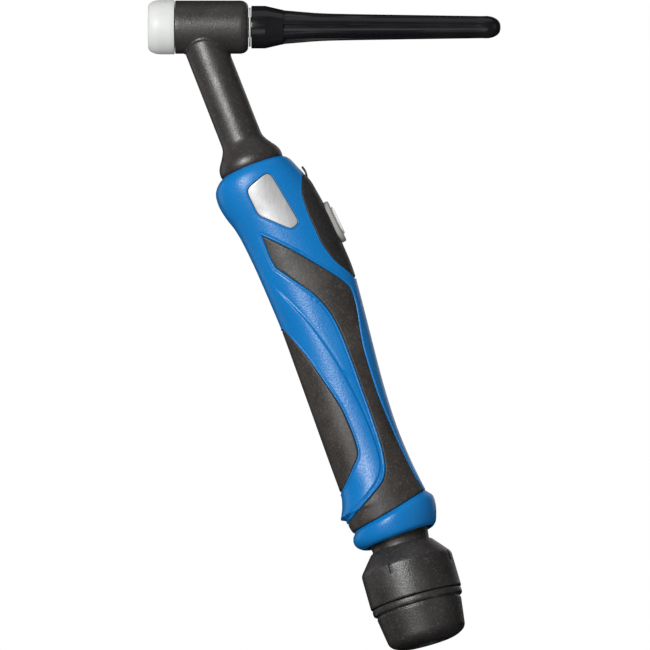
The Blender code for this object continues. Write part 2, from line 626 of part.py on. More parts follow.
def make_collar(frames, materials):
    """The wedge ring that slides over the shells' spigot and holds the ball seat."""
    rings = []
    for s_back, back, s_front, front, half, dip in COLLAR_RINGS:
        ring = []
        for i in range(2 * SHELL_STEPS):
            a = pi * i / SHELL_STEPS
            u = (front - back) / 2 - cos(a) * (front + back) / 2
            s = (s_back + s_front) / 2 + (s_back - s_front) / 2 * cos(a) + dip * sin(a) ** 2
            ring.append(on_handle(s, u, -half * sin(a)))
        rings.append(ring)
    collar = lofted("rear_collar", frames["handle"], rings, materials["handle_blue"])
    above, below = COLLAR_INSIDE
    for name, radius, start, end in (("collar_bore", COLLAR_BORE, above, COLLAR_LIP_S),
                                     ("collar_mouth", COLLAR_MOUTH, above, below)):
        profile = [(GRIP_S - start, 0), (GRIP_S - start, radius), (GRIP_S - end, radius),
                   (GRIP_S - end, 0)]
        boolean(collar, turned(name, frames["handle"], profile, ROUND, None, (BALL_U, 0)))


# ---------------------------------------------------------------- switch pieces
def make_switch(frames, materials):
    key, handle = frames["key"], frames["handle"]
    cover = make_inlay("switch_cover", frames, COVER_THICK, cover_outline(), (-FAR, FAR),
                       materials["soft_black"])
    tab = handle_prism("pull_tab", handle, TAB_OUTLINE, -TAB_HALF_WIDTH, TAB_HALF_WIDTH)
    boolean(cover, tab, "UNION")
    for side in (-1, 1):
        outline = [(side * y, z) for y, z in RIB_OUTLINE]
        boolean(cover, extruded(f"switch_rib_{side}", key, outline, *RIB_X, 0), "UNION")
    opening = (BEZEL_SIZE[0] + 2 * GAP, BEZEL_SIZE[1] + 2 * GAP)
    boolean(cover, extruded("bezel_opening", key, stadium(opening), *BEZEL_SPACE, 2))
    bezel = extruded("key_bezel", key, stadium(BEZEL_SIZE), BEZEL_FOOT, BEZEL_TOP, 2,
                     materials["bezel_grey"])
    boolean(bezel, extruded("bezel_hole", key, stadium(BEZEL_BORE), *BEZEL_SPACE, 2))
    press = extruded("push_key", key, stadium(KEY_SIZE), FLANGE_Z[1] - BLEND, KEY_TOP, 2,
                     materials["key_grey"])
    boolean(press, extruded("key_flange", key, stadium(KEY_FLANGE), *FLANGE_Z, 2), "UNION")
    stem_top = FLANGE_Z[0] + BLEND
    boolean(press, turned("key_stem", key, [(STEM_END, 0), (STEM_END, STEM_R),
                                            (stem_top, STEM_R), (stem_top, 0)], 12), "UNION")
    body = extruded("microswitch", key, box_outline(*SWITCH_X, -SWITCH_Y, SWITCH_Y),
                    *SWITCH_Z, 2, materials["switch_black"])
    hole = PLUNGER_R + GAP
    boolean(body, turned("plunger_hole", key, [(PLUNGER_HOLE, 0), (PLUNGER_HOLE, hole),
                                               (0, hole), (0, 0)], 12))
    turned("switch_plunger", key, [(PLUNGER_Z[0], 0), (PLUNGER_Z[0], PLUNGER_R),
                                   (PLUNGER_Z[1], PLUNGER_R), (PLUNGER_Z[1], 0)], 12,
           materials["key_grey"])
    half_x, half_y = TERMINAL_SIZE
    for number, x in enumerate(TERMINAL_X, 1):
        extruded(f"switch_terminal_{number}", key,
                 box_outline(x - half_x, x + half_x, -half_y, half_y), *TERMINAL_Z, 2,
                 materials["brass"])
    make_spring(key, materials["steel"])


def make_spring(key, material):
    """The key's return spring, a coil round the stem."""
    top, foot = FLANGE_Z[0] - GAP - SPRING_WIRE, SWITCH_Z[1] + GAP + SPRING_WIRE
    points = []
    for i in range(SPRING_STEPS + 1):
        share = i / SPRING_STEPS
        a = 2 * pi * SPRING_TURNS * share
        points.append((SPRING_R * cos(a), SPRING_R * sin(a), foot + (top - foot) * share))
    make_tube("key_spring", key, points, SPRING_WIRE, 1, material)


def make_tube(name, frame, points, radius, resolution, material):
    curve = bpy.data.curves.new(name, "CURVE")
    curve.dimensions = "3D"
    curve.bevel_depth = radius * MM
    curve.bevel_resolution = resolution
    curve.use_fill_caps = True
    spline = curve.splines.new("POLY")
    spline.points.add(len(points) - 1)
    for slot, point in zip(spline.points, points):
        slot.co = (*(c * MM for c in point), 1.0)
    made = bpy.data.objects.new(name, curve)
    bpy.context.collection.objects.link(made)
    made.parent = frame
    curve.materials.append(material)
    return made


def make_leads(frames, materials):
    """Two control leads from the switch's terminals to the plug inside the handle."""
    for number, side in ((1, 1), (2, -1)):
        start = [(TERMINAL_X[number - 1] + x, TERMINAL_Z[0] + z, y) for x, z, y in LEAD_START]
        route = [(*from_key(x, z), y) for x, z, y in start] + LEAD_ROUTE
        points = [on_handle(s, u, side * y) for s, u, y in smooth_path(route, 2)]
        make_tube(f"switch_lead_{number}", frames["handle"], points, LEAD_R, 2,
                  materials["lead_red"] if number == 1 else materials["switch_black"])
    plug = handle_prism("lead_connector", frames["handle"], box_outline(*PLUG_S, *PLUG_U),
                        -PLUG_HALF, PLUG_HALF, materials["nylon_white"])
    for side in (-1, 1):
        low, high = sorted(side * y for y in PLUG_SOCKET_Y)
        boolean(plug, handle_prism(f"plug_socket_{side}", frames["handle"],
                                   box_outline(*PLUG_SOCKET_S, *PLUG_SOCKET_U), low, high))


# ---------------------------------------------------------------- ball joint and boot
def sphere_profile(radius, start, end, steps):
    first, last = asin(start / radius), asin(end / radius)
    angles = [first + (last - first) * i / steps for i in range(steps + 1)]
    return [(radius * sin(a), radius * cos(a)) for a in angles]


def make_ball_joint(frames, materials):
    seat_inner = sphere_profile(BALL_R + GAP, -SEAT_WRAP, -SEAT_FROM, 4)
    turned("ball_seat", frames["ball"],
           seat_inner + [(-SEAT_FROM, SPIGOT_R), (-SEAT_TO, SPIGOT_R),
                         (-SEAT_TO, SEAT_MOUTH)], ROUND,
           materials["nylon_white"])
    neck_from = sqrt(BALL_R ** 2 - SLEEVE_NECK ** 2)
    profile = sphere_profile(BALL_R, SLEEVE_TOP, neck_from, 10) + SLEEVE_FOOT + [
        (SLEEVE_FOOT[-1][0], SLEEVE_BORE), (SLEEVE_TOP, SLEEVE_BORE)]
    turned("ball_sleeve", frames["boot"], profile, ROUND, materials["boot_black"])


def make_boot(frames, materials):
    boot = turned("boot_upper", frames["boot"], BOOT_PROFILE, ROUND, materials["boot_black"])
    for turn in (0, 90, 180, 270):
        slot = extruded(f"boot_slot_{turn}", frames["boot"],
                        box_outline(-SLOT_WIDTH / 2, SLOT_WIDTH / 2, SLOT_FROM, SLOT_TO),
                        SLOT_FLOOR, FAR, 1)
        slot.rotation_euler.z = radians(turn + SLOT_TURN)
        boolean(boot, slot)
    turned("hose_cup", frames["boot"], CUP_PROFILE, ROUND, materials["boot_black"])


# ---------------------------------------------------------------- head, neck and cap
def along_handle(profile):
    """A profile of (s, radius) in the handle frame's own axis."""
    return [(GRIP_S - s, r) for s, r in profile]


def make_head(frames, materials):
    head, handle = frames["head"], frames["handle"]
    back = HEAD_FRONT - GAP
    turned("front_insulator", head,
           [(INSULATOR_FRONT, INSULATOR_BORE)]
           + [(INSULATOR_FRONT + INSULATOR_BEND * (1 - cos(a)),
               INSULATOR_TIP_R + (INSULATOR_R - INSULATOR_TIP_R) * sin(a)) for a in QUARTER]
           + [(back, INSULATOR_R), (back, INSULATOR_SPIGOT), (INSULATOR_END, INSULATOR_SPIGOT),
              (INSULATOR_END, INSULATOR_BORE)],
           ROUND, materials["insulator_white"])
    cover = turned("head_cover", head,
                   [(HEAD_FRONT, 0), (HEAD_FRONT, HEAD_R - HEAD_EDGE),
                    (HEAD_FRONT + HEAD_EDGE, HEAD_R)]
                   + [(HEAD_REAR - HEAD_REAR_BEND * (1 - sin(a)),
                       HEAD_REAR_R + (HEAD_R - HEAD_REAR_R) * cos(a)) for a in QUARTER]
                   + [(HEAD_REAR, 0)], ROUND, materials["head_black"])
    boolean(cover, turned("neck_cover", handle, along_handle(NECK_PROFILE), ROUND), "UNION")
    for name, frame, radius, start, end in (
            ("core_space", head, CORE_R + GAP, CORE_FRONT - BLEND, HEAD_REAR + 1),
            ("spigot_recess", head, *SPIGOT_RECESS),
            ("tube_space", handle, TUBE_R + GAP, GRIP_S - TUBE_SPACE[1], GRIP_S - TUBE_SPACE[0])):
        profile = [(start, 0), (start, radius), (end, radius), (end, 0)]
        boolean(cover, turned(name, frame, profile, SMALL))
    core_end = HEAD_REAR - GAP
    web_front, web_rear = CORE_STEPS
    turned("torch_core", head,
           [(CORE_FRONT, CORE_BORE), (CORE_FRONT, CORE_R), (core_end, CORE_R),
            (core_end, CORE_THREAD), (web_rear, CORE_THREAD), (web_rear, CORE_WEB),
            (web_front, CORE_WEB), (web_front, CORE_BORE)], SMALL, materials["brass"])
    start, end = TUBE_S
    turned("neck_tube", handle, along_handle([(start, TUBE_R), (end, TUBE_R), (end, TUBE_BORE),
                                              (start, TUBE_BORE)]), SMALL, materials["copper"])
    stud = turned("power_stud", handle, along_handle(STUD_PROFILE), SMALL, materials["brass"])
    boolean(stud, extruded("stud_flats", handle, hexagon(FLATS_SHARE * STUD_HEX),
                           GRIP_S - STUD_FLATS[1], GRIP_S - STUD_FLATS[0], 2), "INTERSECT")


def make_cap(frames, materials):
    front, rear = HEAD_REAR + GAP, CAP_FACE - GAP
    turned("cap_seal_ring", frames["head"], [(front, SEAL_BORE), (front, SEAL_R),
                                             (rear, SEAL_R), (rear, SEAL_BORE)],
           ROUND, materials["seal_pale"])
    turned("back_cap", frames["head"], CAP_PROFILE, ROUND, materials["cap_black"])


def main():
    clear_scene()
    materials = make_materials()
    frames = make_frames()
    make_head(frames, materials)
    make_cap(frames, materials)
    make_handle(frames, materials)
    make_collar(frames, materials)
    make_switch(frames, materials)
    make_leads(frames, materials)
    make_ball_joint(frames, materials)
    make_boot(frames, materials)


main()
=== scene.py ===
"""The looks of a TIG torch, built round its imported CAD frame.

Shapes are worked out in millimetres in four local frames (handle, head, boot and key)
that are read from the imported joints, and are then placed in the row's frame in metres.
On the handle, s runs down its axis from the head's axis, u runs from the axis towards
the key, and an angle of 0 is the back, 90 degrees the -Y side and 180 degrees the front.
"""
import json
from collections import namedtuple
from math import acos, copysign, cos, hypot, pi, radians, sin, sqrt

import bmesh
import bpy
import numpy as np
from mathutils import Matrix, Vector
from mathutils.geometry import delaunay_2d_cdt
from mathutils.kdtree import KDTree


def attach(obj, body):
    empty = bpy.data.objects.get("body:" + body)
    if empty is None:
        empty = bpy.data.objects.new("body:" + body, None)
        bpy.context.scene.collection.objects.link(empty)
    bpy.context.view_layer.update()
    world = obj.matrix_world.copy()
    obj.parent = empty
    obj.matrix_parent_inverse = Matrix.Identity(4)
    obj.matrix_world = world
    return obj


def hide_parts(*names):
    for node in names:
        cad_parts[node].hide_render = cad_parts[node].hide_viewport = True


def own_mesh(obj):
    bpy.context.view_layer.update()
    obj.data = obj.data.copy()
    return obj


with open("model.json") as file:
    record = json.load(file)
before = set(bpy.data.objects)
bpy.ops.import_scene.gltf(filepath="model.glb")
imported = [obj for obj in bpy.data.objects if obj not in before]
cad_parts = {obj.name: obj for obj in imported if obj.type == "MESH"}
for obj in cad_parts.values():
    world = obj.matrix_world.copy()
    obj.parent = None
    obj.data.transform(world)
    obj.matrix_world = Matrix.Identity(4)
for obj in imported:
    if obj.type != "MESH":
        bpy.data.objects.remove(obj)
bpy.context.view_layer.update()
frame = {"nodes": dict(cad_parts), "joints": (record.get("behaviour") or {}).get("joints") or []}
JOINTS = {joint["name"]: joint for joint in frame["joints"]}
MM = 0.001

# ------------------------------------------------------------------ frames
HANDLE_DOWN = Vector(JOINTS["seat_turn"]["axis"])
BOOT_DOWN = Vector(JOINTS["boot_swivel"]["axis"])
KEY_OUT = -Vector(JOINTS["key_press"]["axis"])
BALL = Vector(JOINTS["seat_turn"]["pos_m"]) / MM
CAP_FACE = Vector(JOINTS["cap_turn"]["pos_m"]) / MM
CAP_FACE_X = 24.8           # the cap's front face, along the head from the crossing of axes
GRIP_S = 165.0              # the row's origin, down the handle from the head's axis
ACROSS = Vector((0, 1, 0))


def frame_of(origin, x_axis, z_axis):
    matrix = Matrix((x_axis, z_axis.cross(x_axis), z_axis)).transposed().to_4x4()
    matrix.translation = origin
    return matrix


HANDLE = frame_of(Vector(), ACROSS.cross(-HANDLE_DOWN), -HANDLE_DOWN)
HEAD = frame_of(CAP_FACE - Vector((CAP_FACE_X, 0, 0)), Vector((0, 0, -1)), Vector((1, 0, 0)))
BOOT = frame_of(BALL, ACROSS.cross(BOOT_DOWN), BOOT_DOWN)
KEY_S, KEY_U = 107.25, 25.6
KEY = frame_of(HANDLE @ Vector((KEY_U, 0, GRIP_S - KEY_S)), ACROSS.cross(KEY_OUT), KEY_OUT)

# ------------------------------------------------------------------ handle outline
# Rows of (s, distance from the axis), for the back, the key's side and half the width
BACK = [(70.9, 15.5), (71.9, 17.0), (73.4, 18.6), (75, 19.8), (77.1, 20.5), (80, 20.8),
        (83, 20.65), (86.2, 20.05), (89.5, 19.2), (92.8, 18.15), (96, 17.45), (100, 16.85),
        (105, 16.35), (113, 15.75), (123, 15.3), (135, 14.9), (143, 14.7), (151, 14.8),
        (163, 15.1), (178, 15.5), (194, 15.95), (210, 16.4), (222, 16.65), (226, 16.85),
        (229.3, 17.7), (232.7, 19.05), (236.4, 21.1)]
BACK_REAR = [(237.2, 19.2), (239.6, 18.7), (241.5, 18.6), (243.7, 18.0), (246, 17.2)]
FRONT = [(70.9, 15.7), (72.6, 17.3), (74.4, 18.2), (77, 19.2), (81, 20.8), (84.4, 22.3),
         (86.6, 22.95), (89.8, 23.45), (96, 24.3), (105, 25.2), (112, 25.6), (119.5, 25.9),
         (127.5, 26.15), (133, 25.95), (139, 25.35), (147, 24.4), (158, 23.05), (169, 21.65),
         (181, 20.2), (190, 19.35), (200, 18.65), (208, 18.35), (216, 18.45), (224, 18.8),
         (232, 19.45), (238, 20.0), (246, 20.0)]
HALF_WIDTH = [(70.9, 15.6), (72.6, 16.8), (75.5, 17.6), (82, 17.8), (95, 16.9), (110, 16.2),
              (130, 15.8), (160, 15.4), (190, 15.6), (210, 16.3), (225, 17.3),
              (236, 18.4), (246, 18.5)]
TAIL_S, TAIL_U = 236.4, 21.1
FULLNESS = 0.89
RIM_S, RIM_BORE = 70.9, 14.6
# The inlays' edges and the crease, as rows of (s, u)
SIDE_GRIP_FRONT = [(102.9, -8.2), (113, 1.2), (122.7, 9.3), (132.4, 17.2), (135.9, 19.6),
                   (139.9, 21.4), (148.3, 20.9), (164.5, 17.4), (176.5, 16.1),
                   (191.6, 15.3), (207.5, 15.7), (220.3, 16.4), (232, 17.6)]
SIDE_GRIP_BACK = [(102.9, -8.2), (113.0, -8.3), (119.1, -7.6), (128.4, -1.5), (137.5, 4.4),
                  (147.4, 8.1), (157.8, 9.4), (171.9, 9.5), (185.7, 9.1), (200.9, 8.6),
                  (216.7, 7.3), (226.8, 3.8), (232.2, -3.6), (238.8, -17.1)]
PALM_GRIP = [(145.6, -14), (153.4, -11.7), (163.3, -8.7), (176.7, -5.7), (189.2, -3.0),
             (199.3, -2.4), (207.1, -2.5), (213.4, -3.8), (218.1, -8.3), (221.5, -11.8),
             (224.5, -15.6)]
PLATE = [(77.1, 3.8), (78.7, 6.2), (103.9, 10.3), (105.8, 5.6), (94.3, -6.3), (82.8, -7.4),
         (80.7, -6.2)]
COVER = [(81.6, 20.6), (85.4, 18.5), (89.6, 16.8), (93.5, 15.8), (102.7, 15.4), (109, 15.8),
         (115.6, 16.1), (121.6, 17.6), (126.5, 19.4), (131.3, 22.5), (134.5, 24.6)]
CREASE = [(118, -14.2), (123, -12.6), (128.4, -10.7), (139.8, -6.3), (150.8, -2.4), (167.3, 1.6),
          (185.8, 4.2), (201.4, 5.2), (216.4, 4.6), (225, 1.4), (231.4, -7.2), (236.4, -18.4)]
# Rings of the collar: s and reach at the back, the same at the front, half width, dip
COLLAR_RINGS = [(244.2, 17.3, 237.8, 19.9, 18.4, 1.8), (245.0, 17.6, 239.2, 20.9, 19.3, 1.5),
                (246.4, 18.8, 241.2, 22.2, 20.2, 1.1), (248.6, 19.4, 244.5, 22.1, 20.3, 0.9),
                (250.8, 18.8, 248.5, 21.0, 19.9, 0.7), (252.6, 17.0, 252.4, 19.3, 18.8, 0.5),
                (253.3, 15.4, 253.9, 17.6, 16.9, 0.4)]
COLLAR_BORE, COLLAR_LIP_S, BALL_R = 17.5, 252.1, 15.4
COLLAR_MOUTH, BALL_U, BALL_S = 15.9, 1.4, 245.5


def slope(rows, i):
    lo, hi = max(i - 1, 0), min(i + 1, len(rows) - 1)
    return (rows[hi][1] - rows[lo][1]) / (rows[hi][0] - rows[lo][0])


def smooth_value(rows, s):
    if s <= rows[0][0]:
        return rows[0][1]
    if s >= rows[-1][0]:
        return rows[-1][1]
    i = next(k for k in range(len(rows) - 1) if s < rows[k + 1][0])
    (s0, v0), (s1, v1) = rows[i], rows[i + 1]
    width = s1 - s0
    f = (s - s0) / width
    m0, m1 = slope(rows, i) * width, slope(rows, i + 1) * width
    return ((2 * f ** 3 - 3 * f ** 2 + 1) * v0 + (f ** 3 - 2 * f ** 2 + f) * m0
            + (3 * f ** 2 - 2 * f ** 3) * v1 + (f ** 3 - f ** 2) * m1)


def smooth_path(points, step=0.7):
    """Points about a step apart on a smooth curve through the given ones."""
    found = []
    last = len(points) - 1
    for i in range(last):
        p0, p1, p2, p3 = (np.array(points[k], float)
                          for k in (max(i - 1, 0), i, i + 1, min(i + 2, last)))
        count = max(int(np.linalg.norm(p2 - p1) / step), 1)
        for f in np.arange(count) / count:
            found.append(0.5 * (2 * p1 + (p2 - p0) * f + (2 * p0 - 5 * p1 + 4 * p2 - p3) * f ** 2
                                + (3 * p1 - p0 - 3 * p2 + p3) * f ** 3))
    found.append(np.array(points[-1], float))
    return np.array(found)


def round_corner(before, here, after, reach, share, steps):
    """Points on a curve round a corner. It starts and ends reach away along the two arms,
    or at that share of an arm that is too short."""
    before, here, after = (np.array(point, float) for point in (before, here, after))
    arms = [end - here for end in (before, after)]
    first, last = (arm * min(reach, np.linalg.norm(arm) * share) / np.linalg.norm(arm)
                   for arm in arms)
    return [(here + first) * (1 - f) ** 2 + here * 2 * f * (1 - f) + (here + last) * f ** 2
            for f in np.linspace(0, 1, steps)]


def rounded_loop(corners, radius, step):
    """A closed outline with curved corners, as evenly spaced points."""
    points = []
    for i, corner in enumerate(corners):
        following = corners[(i + 1) % len(corners)]
        points += round_corner(corners[i - 1], corner, following, radius, 0.45, 6)
    return resampled(np.array(points + points[:1]), step)[:-1]


def resampled(path, step):
    """The same path with its points evenly spaced."""
    lengths = np.concatenate(([0], np.cumsum(np.linalg.norm(np.diff(path, axis=0), axis=1))))
    count = max(int(round(lengths[-1] / step)), 3)
    at = np.linspace(0, lengths[-1], count + 1)
    return np.stack([np.interp(at, lengths, path[:, k]) for k in range(path.shape[1])], axis=1)


# Half sections, worked out once at finely spaced rows
ROW_S = np.arange(RIM_S, 247, 0.1)
ROWS = np.array([[smooth_value(BACK, s) if s <= TAIL_S else
                  smooth_value([(TAIL_S, TAIL_U)] + BACK_REAR, s),
                  smooth_value(FRONT, s), smooth_value(HALF_WIDTH, s)] for s in ROW_S])


def section(s):
    return [np.interp(s, ROW_S, ROWS[:, k]) for k in range(3)]


def skin(s, angle, lift=0.0):
    """Points of the handle's surface in the handle frame, raised by lift."""
    back, front, half = (reach + lift for reach in section(s))
    c, k = np.cos(angle), np.sin(angle)
    u = (front - back) / 2 - np.sign(c) * np.abs(c) ** FULLNESS * (front + back) / 2
    y = -np.sign(k) * np.abs(k) ** FULLNESS * half
    return np.stack([u, y, GRIP_S - s], axis=-1)


def angle_at(s, u):
    """The angle on the -Y side at which the surface has that u."""
    back, front, _ = section(s)
    share = ((front - back) / 2 - u) / ((front + back) / 2)
    share = np.clip(share, -1, 1)
    return np.arccos(np.sign(share) * np.abs(share) ** (1 / FULLNESS))


def on_skin(path):
    """A path of (s, u) as (s, angle)."""
    path = np.asarray(path, float)
    return np.stack([path[:, 0], angle_at(path[:, 0], path[:, 1])], axis=1)


def rear_edge(u):
    """How far down the handle the shells end, for points that far from its axis."""
    s_back, back, s_front, front, _, dip = COLLAR_RINGS[0]
    f = np.clip((u + back) / (back + front), 0, 1)
    return s_back + (s_front - s_back) * f + dip * 4 * f * (1 - f)


# ------------------------------------------------------------------ meshes
def outward(mesh):
    """Turn every face's normal outwards."""
    clean = bmesh.new()
    clean.from_mesh(mesh)
    bmesh.ops.recalc_face_normals(clean, faces=clean.faces)
    clean.to_mesh(mesh)
    clean.free()


def plain_piece(name, verts, faces, place):
    """A mesh in the row's frame, from millimetres in a local one, that isn't declared yet."""
    world = np.array(place)
    spots = (np.asarray(verts, float) @ world[:3, :3].T + world[:3, 3]) * MM
    mesh = bpy.data.meshes.new(name)
    mesh.from_pydata(spots.tolist(), [], [tuple(int(i) for i in face) for face in faces])
    outward(mesh)
    made = bpy.data.objects.new(name, mesh)
    bpy.context.scene.collection.objects.link(made)
    return made


def settle(made, body, material, stands_for, sharp):
    """Give a finished object its normals, material and body."""
    outward(made.data)
    made.data.shade_smooth()
    made.data.set_sharp_from_angle(angle=radians(sharp))
    made.data.materials.clear()
    made.data.materials.append(material)
    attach(made, body)
    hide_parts(*stands_for)
    return made


def add_piece(name, verts, faces, place, body, slot, material, stands_for, sharp):
    made = plain_piece(name, verts, faces, place)
    return settle(made, body, material, stands_for, sharp)


def joined(target, other, kind):
    """Cut or join other into target, both in the row's frame, and remove other."""
    bpy.context.view_layer.update()
    step = target.modifiers.new("join", "BOOLEAN")
    step.operation = kind
    step.solver = "EXACT"
    step.object = other
    graph = bpy.context.evaluated_depsgraph_get()
    mesh = bpy.data.meshes.new_from_object(target.evaluated_get(graph))
    target.modifiers.clear()
    old, target.data = target.data, mesh
    bpy.data.meshes.remove(old)
    bpy.data.objects.remove(other, do_unlink=True)


def circle(count):
    """Angles evenly spaced round a circle."""
    return [2 * pi * i / count for i in range(count)]


def ring_faces(starts, count):
    """Quads between rings of count points that begin at those starts."""
    faces = []
    for a, b in zip(starts, starts[1:]):
        faces += [(a + i, a + (i + 1) % count, b + (i + 1) % count, b + i) for i in range(count)]
    return faces


def skinned(rings, looped=False):
    """Verts and faces over rings of points, capped at both ends or looped back to the first."""
    count = len(rings[0])
    verts = [point for ring in rings for point in ring]
    starts = list(range(0, len(verts), count))
    if looped:
        return verts, ring_faces(starts + starts[:1], count)
    caps = [tuple(range(count)), tuple(range(starts[-1], starts[-1] + count))]
    return verts, ring_faces(starts, count) + caps


def turned_mesh(profile, segments, shape=None):
    """Verts and faces of a profile of (along, radius) turned about Z. Ends on the axis
    close with a fan, otherwise the profile closes into a ring."""
    solid = profile[0][1] == 0 and profile[-1][1] == 0
    rings = []
    for z, r in (profile[1:-1] if solid else profile):
        reach = [r * shape(z, a) if shape else r for a in circle(segments)]
        rings.append([(far * cos(a), far * sin(a), z) for far, a in zip(reach, circle(segments))])
    if not solid:
        return skinned(rings, looped=True)
    verts, faces = skinned(rings)
    fans = []
    for end, start in ((profile[0], 0), (profile[-1], len(verts) - segments)):
        fans += [(len(verts), start + i, start + (i + 1) % segments) for i in range(segments)]
        verts.append((0, 0, end[0]))
    return verts, fans + faces[:-2]


def lathe(name, profile, place, body, slot, material, stands_for, segments, shape=None, sharp=40):
    verts, faces = turned_mesh(profile, segments, shape)
    add_piece(name, verts, faces, place, body, slot, material, stands_for, sharp)


def rod(name, place, radius, start, end, segments=64):
    profile = [(start, 0), (start, radius), (end, radius), (end, 0)]
    return plain_piece(name, *turned_mesh(profile, segments), place)


def dense(profile, step):
    """A profile with extra points, so that no stretch is longer than step."""
    found = [profile[0]]
    for a, b in zip(profile, profile[1:]):
        count = max(int(hypot(b[0] - a[0], b[1] - a[1]) / step), 1)
        found += [(a[0] + (b[0] - a[0]) * k / count, a[1] + (b[1] - a[1]) * k / count)
                  for k in range(1, count + 1)]
    return found


def fillet(profile, radius):
    """A profile with its corners rounded. Each row is (along, radius) or (along, radius,
    own fillet)."""
    points = []
    for i, row in enumerate(profile):
        own = row[2] if len(row) > 2 else radius
        if i in (0, len(profile) - 1):
            points.append(row[:2])
        else:
            curve = round_corner(profile[i - 1][:2], row[:2], profile[i + 1][:2], own, 0.49, 5)
            points += [tuple(point) for point in curve]
    return points


def oblong(size, grow=0.0, steps=14):
    """An oblong with round ends, long along x, as (x, y) points."""
    radius, half = size[1] / 2 + grow, (size[0] - size[1]) / 2
    return [(side * half + radius * cos(side * pi / 2 - pi * i / steps),
             radius * sin(side * pi / 2 - pi * i / steps))
            for side in (1, -1) for i in range(steps + 1)]


def oblong_stack(size, rows):
    """Verts and faces of oblong rings at (z, grow), lowest first, with capped ends."""
    return skinned([[(x, y, z) for x, y in oblong(size, grow)] for z, grow in rows])


# ------------------------------------------------------------------ handle patches
def surface_steps(path, closed):
    """For each point of a path of (s, angle), the change in (s, angle) that moves 1 mm
    across the surface, square to the path."""
    ahead = np.roll(path, -1, axis=0)
    behind = np.roll(path, 1, axis=0)
    if not closed:
        ahead[-1] = 2 * path[-1] - path[-2]
        behind[0] = 2 * path[0] - path[1]
    tangent = skin(ahead[:, 0], ahead[:, 1]) - skin(behind[:, 0], behind[:, 1])
    tangent /= np.linalg.norm(tangent, axis=1, keepdims=True)
    small = 0.02
    s, angle = path[:, 0], path[:, 1]
    along = (skin(s + small, angle) - skin(s - small, angle)) / (2 * small)
    turn = (skin(s, angle + small) - skin(s, angle - small)) / (2 * small)
    normal = np.cross(along, turn)
    normal /= np.linalg.norm(normal, axis=1, keepdims=True)
    across = np.cross(tangent, normal)
    return np.array([np.linalg.lstsq(np.stack([a, b], axis=1), c, rcond=None)[0]
                     for a, b, c in zip(along, turn, across)])


def inside(points, polygon):
    """Which points lie in a closed polygon."""
    x, y = points[:, 0], points[:, 1]
    found = np.zeros(len(points), bool)
    for (x0, y0), (x1, y1) in zip(polygon, np.roll(polygon, -1, axis=0)):
        if y0 != y1:
            found ^= ((y0 > y) != (y1 > y)) & (x < (x1 - x0) * (y - y0) / (y1 - y0) + x0)
    return found


def within(points, polygon):
    """The points that lie in a closed polygon."""
    return points[inside(points, polygon)]


def distance_to(points, path, closed=False):
    """Distance over the surface, in 3-D, from points to a path, both as (s, angle)."""
    spots = skin(points[:, 0], points[:, 1])
    line = skin(path[:, 0], path[:, 1])
    if closed:
        line = np.vstack([line, line[:1]])
    best = np.full(len(points), np.inf)
    for a, b in zip(line, line[1:]):
        edge = b - a
        f = np.clip((spots - a) @ edge / (edge @ edge), 0, 1)
        best = np.minimum(best, np.linalg.norm(spots - a - f[:, None] * edge, axis=1))
    return best


FLATTEN = np.array([1.0, 17.0])     # (s, angle) to millimetres on the skin laid out flat


def nearest(points, others):
    """Distance from each point to the nearest of the others, on the flattened skin."""
    tree = KDTree(len(others))
    for i, spot in enumerate(others * FLATTEN):
        tree.insert((*spot, 0), i)
    tree.balance()
    return np.array([tree.find((*spot, 0))[2] for spot in points * FLATTEN])


def grid_points(low, high, step_s, step_angle):
    """A grid of (s, angle) points, every other row shifted by half a step."""
    rows = []
    for i, s in enumerate(np.arange(low[0], high[0], step_s)):
        shift = step_angle / 2 * (i % 2)
        angles = np.arange(low[1] + shift, high[1], step_angle)
        rows.append(np.stack([np.full(len(angles), s), angles], axis=1))
    return np.vstack(rows)


def triangulated(boundary, lines, loose):
    """Constrained triangulation in (s, angle). boundary is a closed loop and lines are open
    paths, all kept as edges. loose are free points."""
    points, edges, start = [boundary, *lines, loose], [], 0
    for path in points[:-1]:
        edges += [(i, i + 1) for i in range(start, start + len(path) - 1)]
        start += len(path)
    edges.append((len(boundary) - 1, 0))
    flat = [Vector(point) for point in np.vstack(points) * FLATTEN]
    found = delaunay_2d_cdt(flat, edges, [], 0, 1e-4)
    verts = np.array([tuple(v) for v in found[0]]) / FLATTEN
    faces = np.array([face for face in found[2] if len(face) == 3])
    return verts, faces[inside(verts[faces].mean(axis=1), boundary)]


def open_edges(faces):
    """Edges that only one face has, in that face's direction."""
    seen = {(int(a), int(b)): True for face in faces for a, b in zip(face, np.roll(face, -1))}
    return [(a, b) for a, b in seen if (b, a) not in seen]


def two_sided(outer, inner, faces):
    """Verts and faces of a closed body between a patch's outer and inner points."""
    count = len(outer)
    back = [tuple(int(i) + count for i in face[::-1]) for face in faces]
    sides = [(b, a, a + count, b + count) for a, b in open_edges(faces)]
    return np.vstack([outer, inner]), [tuple(face) for face in faces] + back + sides


def bump(x):
    """1 at 0, falling smoothly to 0 at -1 and 1."""
    return 1 - ramp(np.abs(x))


def ramp(x):
    """0 up to 0, rising smoothly to 1 at 1."""
    x = np.clip(x, 0, 1)
    return x * x * (3 - 2 * x)


# ------------------------------------------------------------------ handle pieces
LIMIT = 0.006               # angle left free on each side of the joint between the shells
SHELL_WALL = 3.2
INSET = 0.26                # the dark gap round each inlay
SPIGOT_R, SOCKET_R, SHELL_END = 17.2, 15.7, 245.8
WINDOW_FROM, WINDOW_TO, WINDOW_HALF = 95.5, 119.0, 6.4      # the switch's opening
GRIP_TURN = pi * 0.885      # where the side grip's front edge meets the rear edge
PAST_JOINT = 0.3            # angle by which a region's outline passes the joint


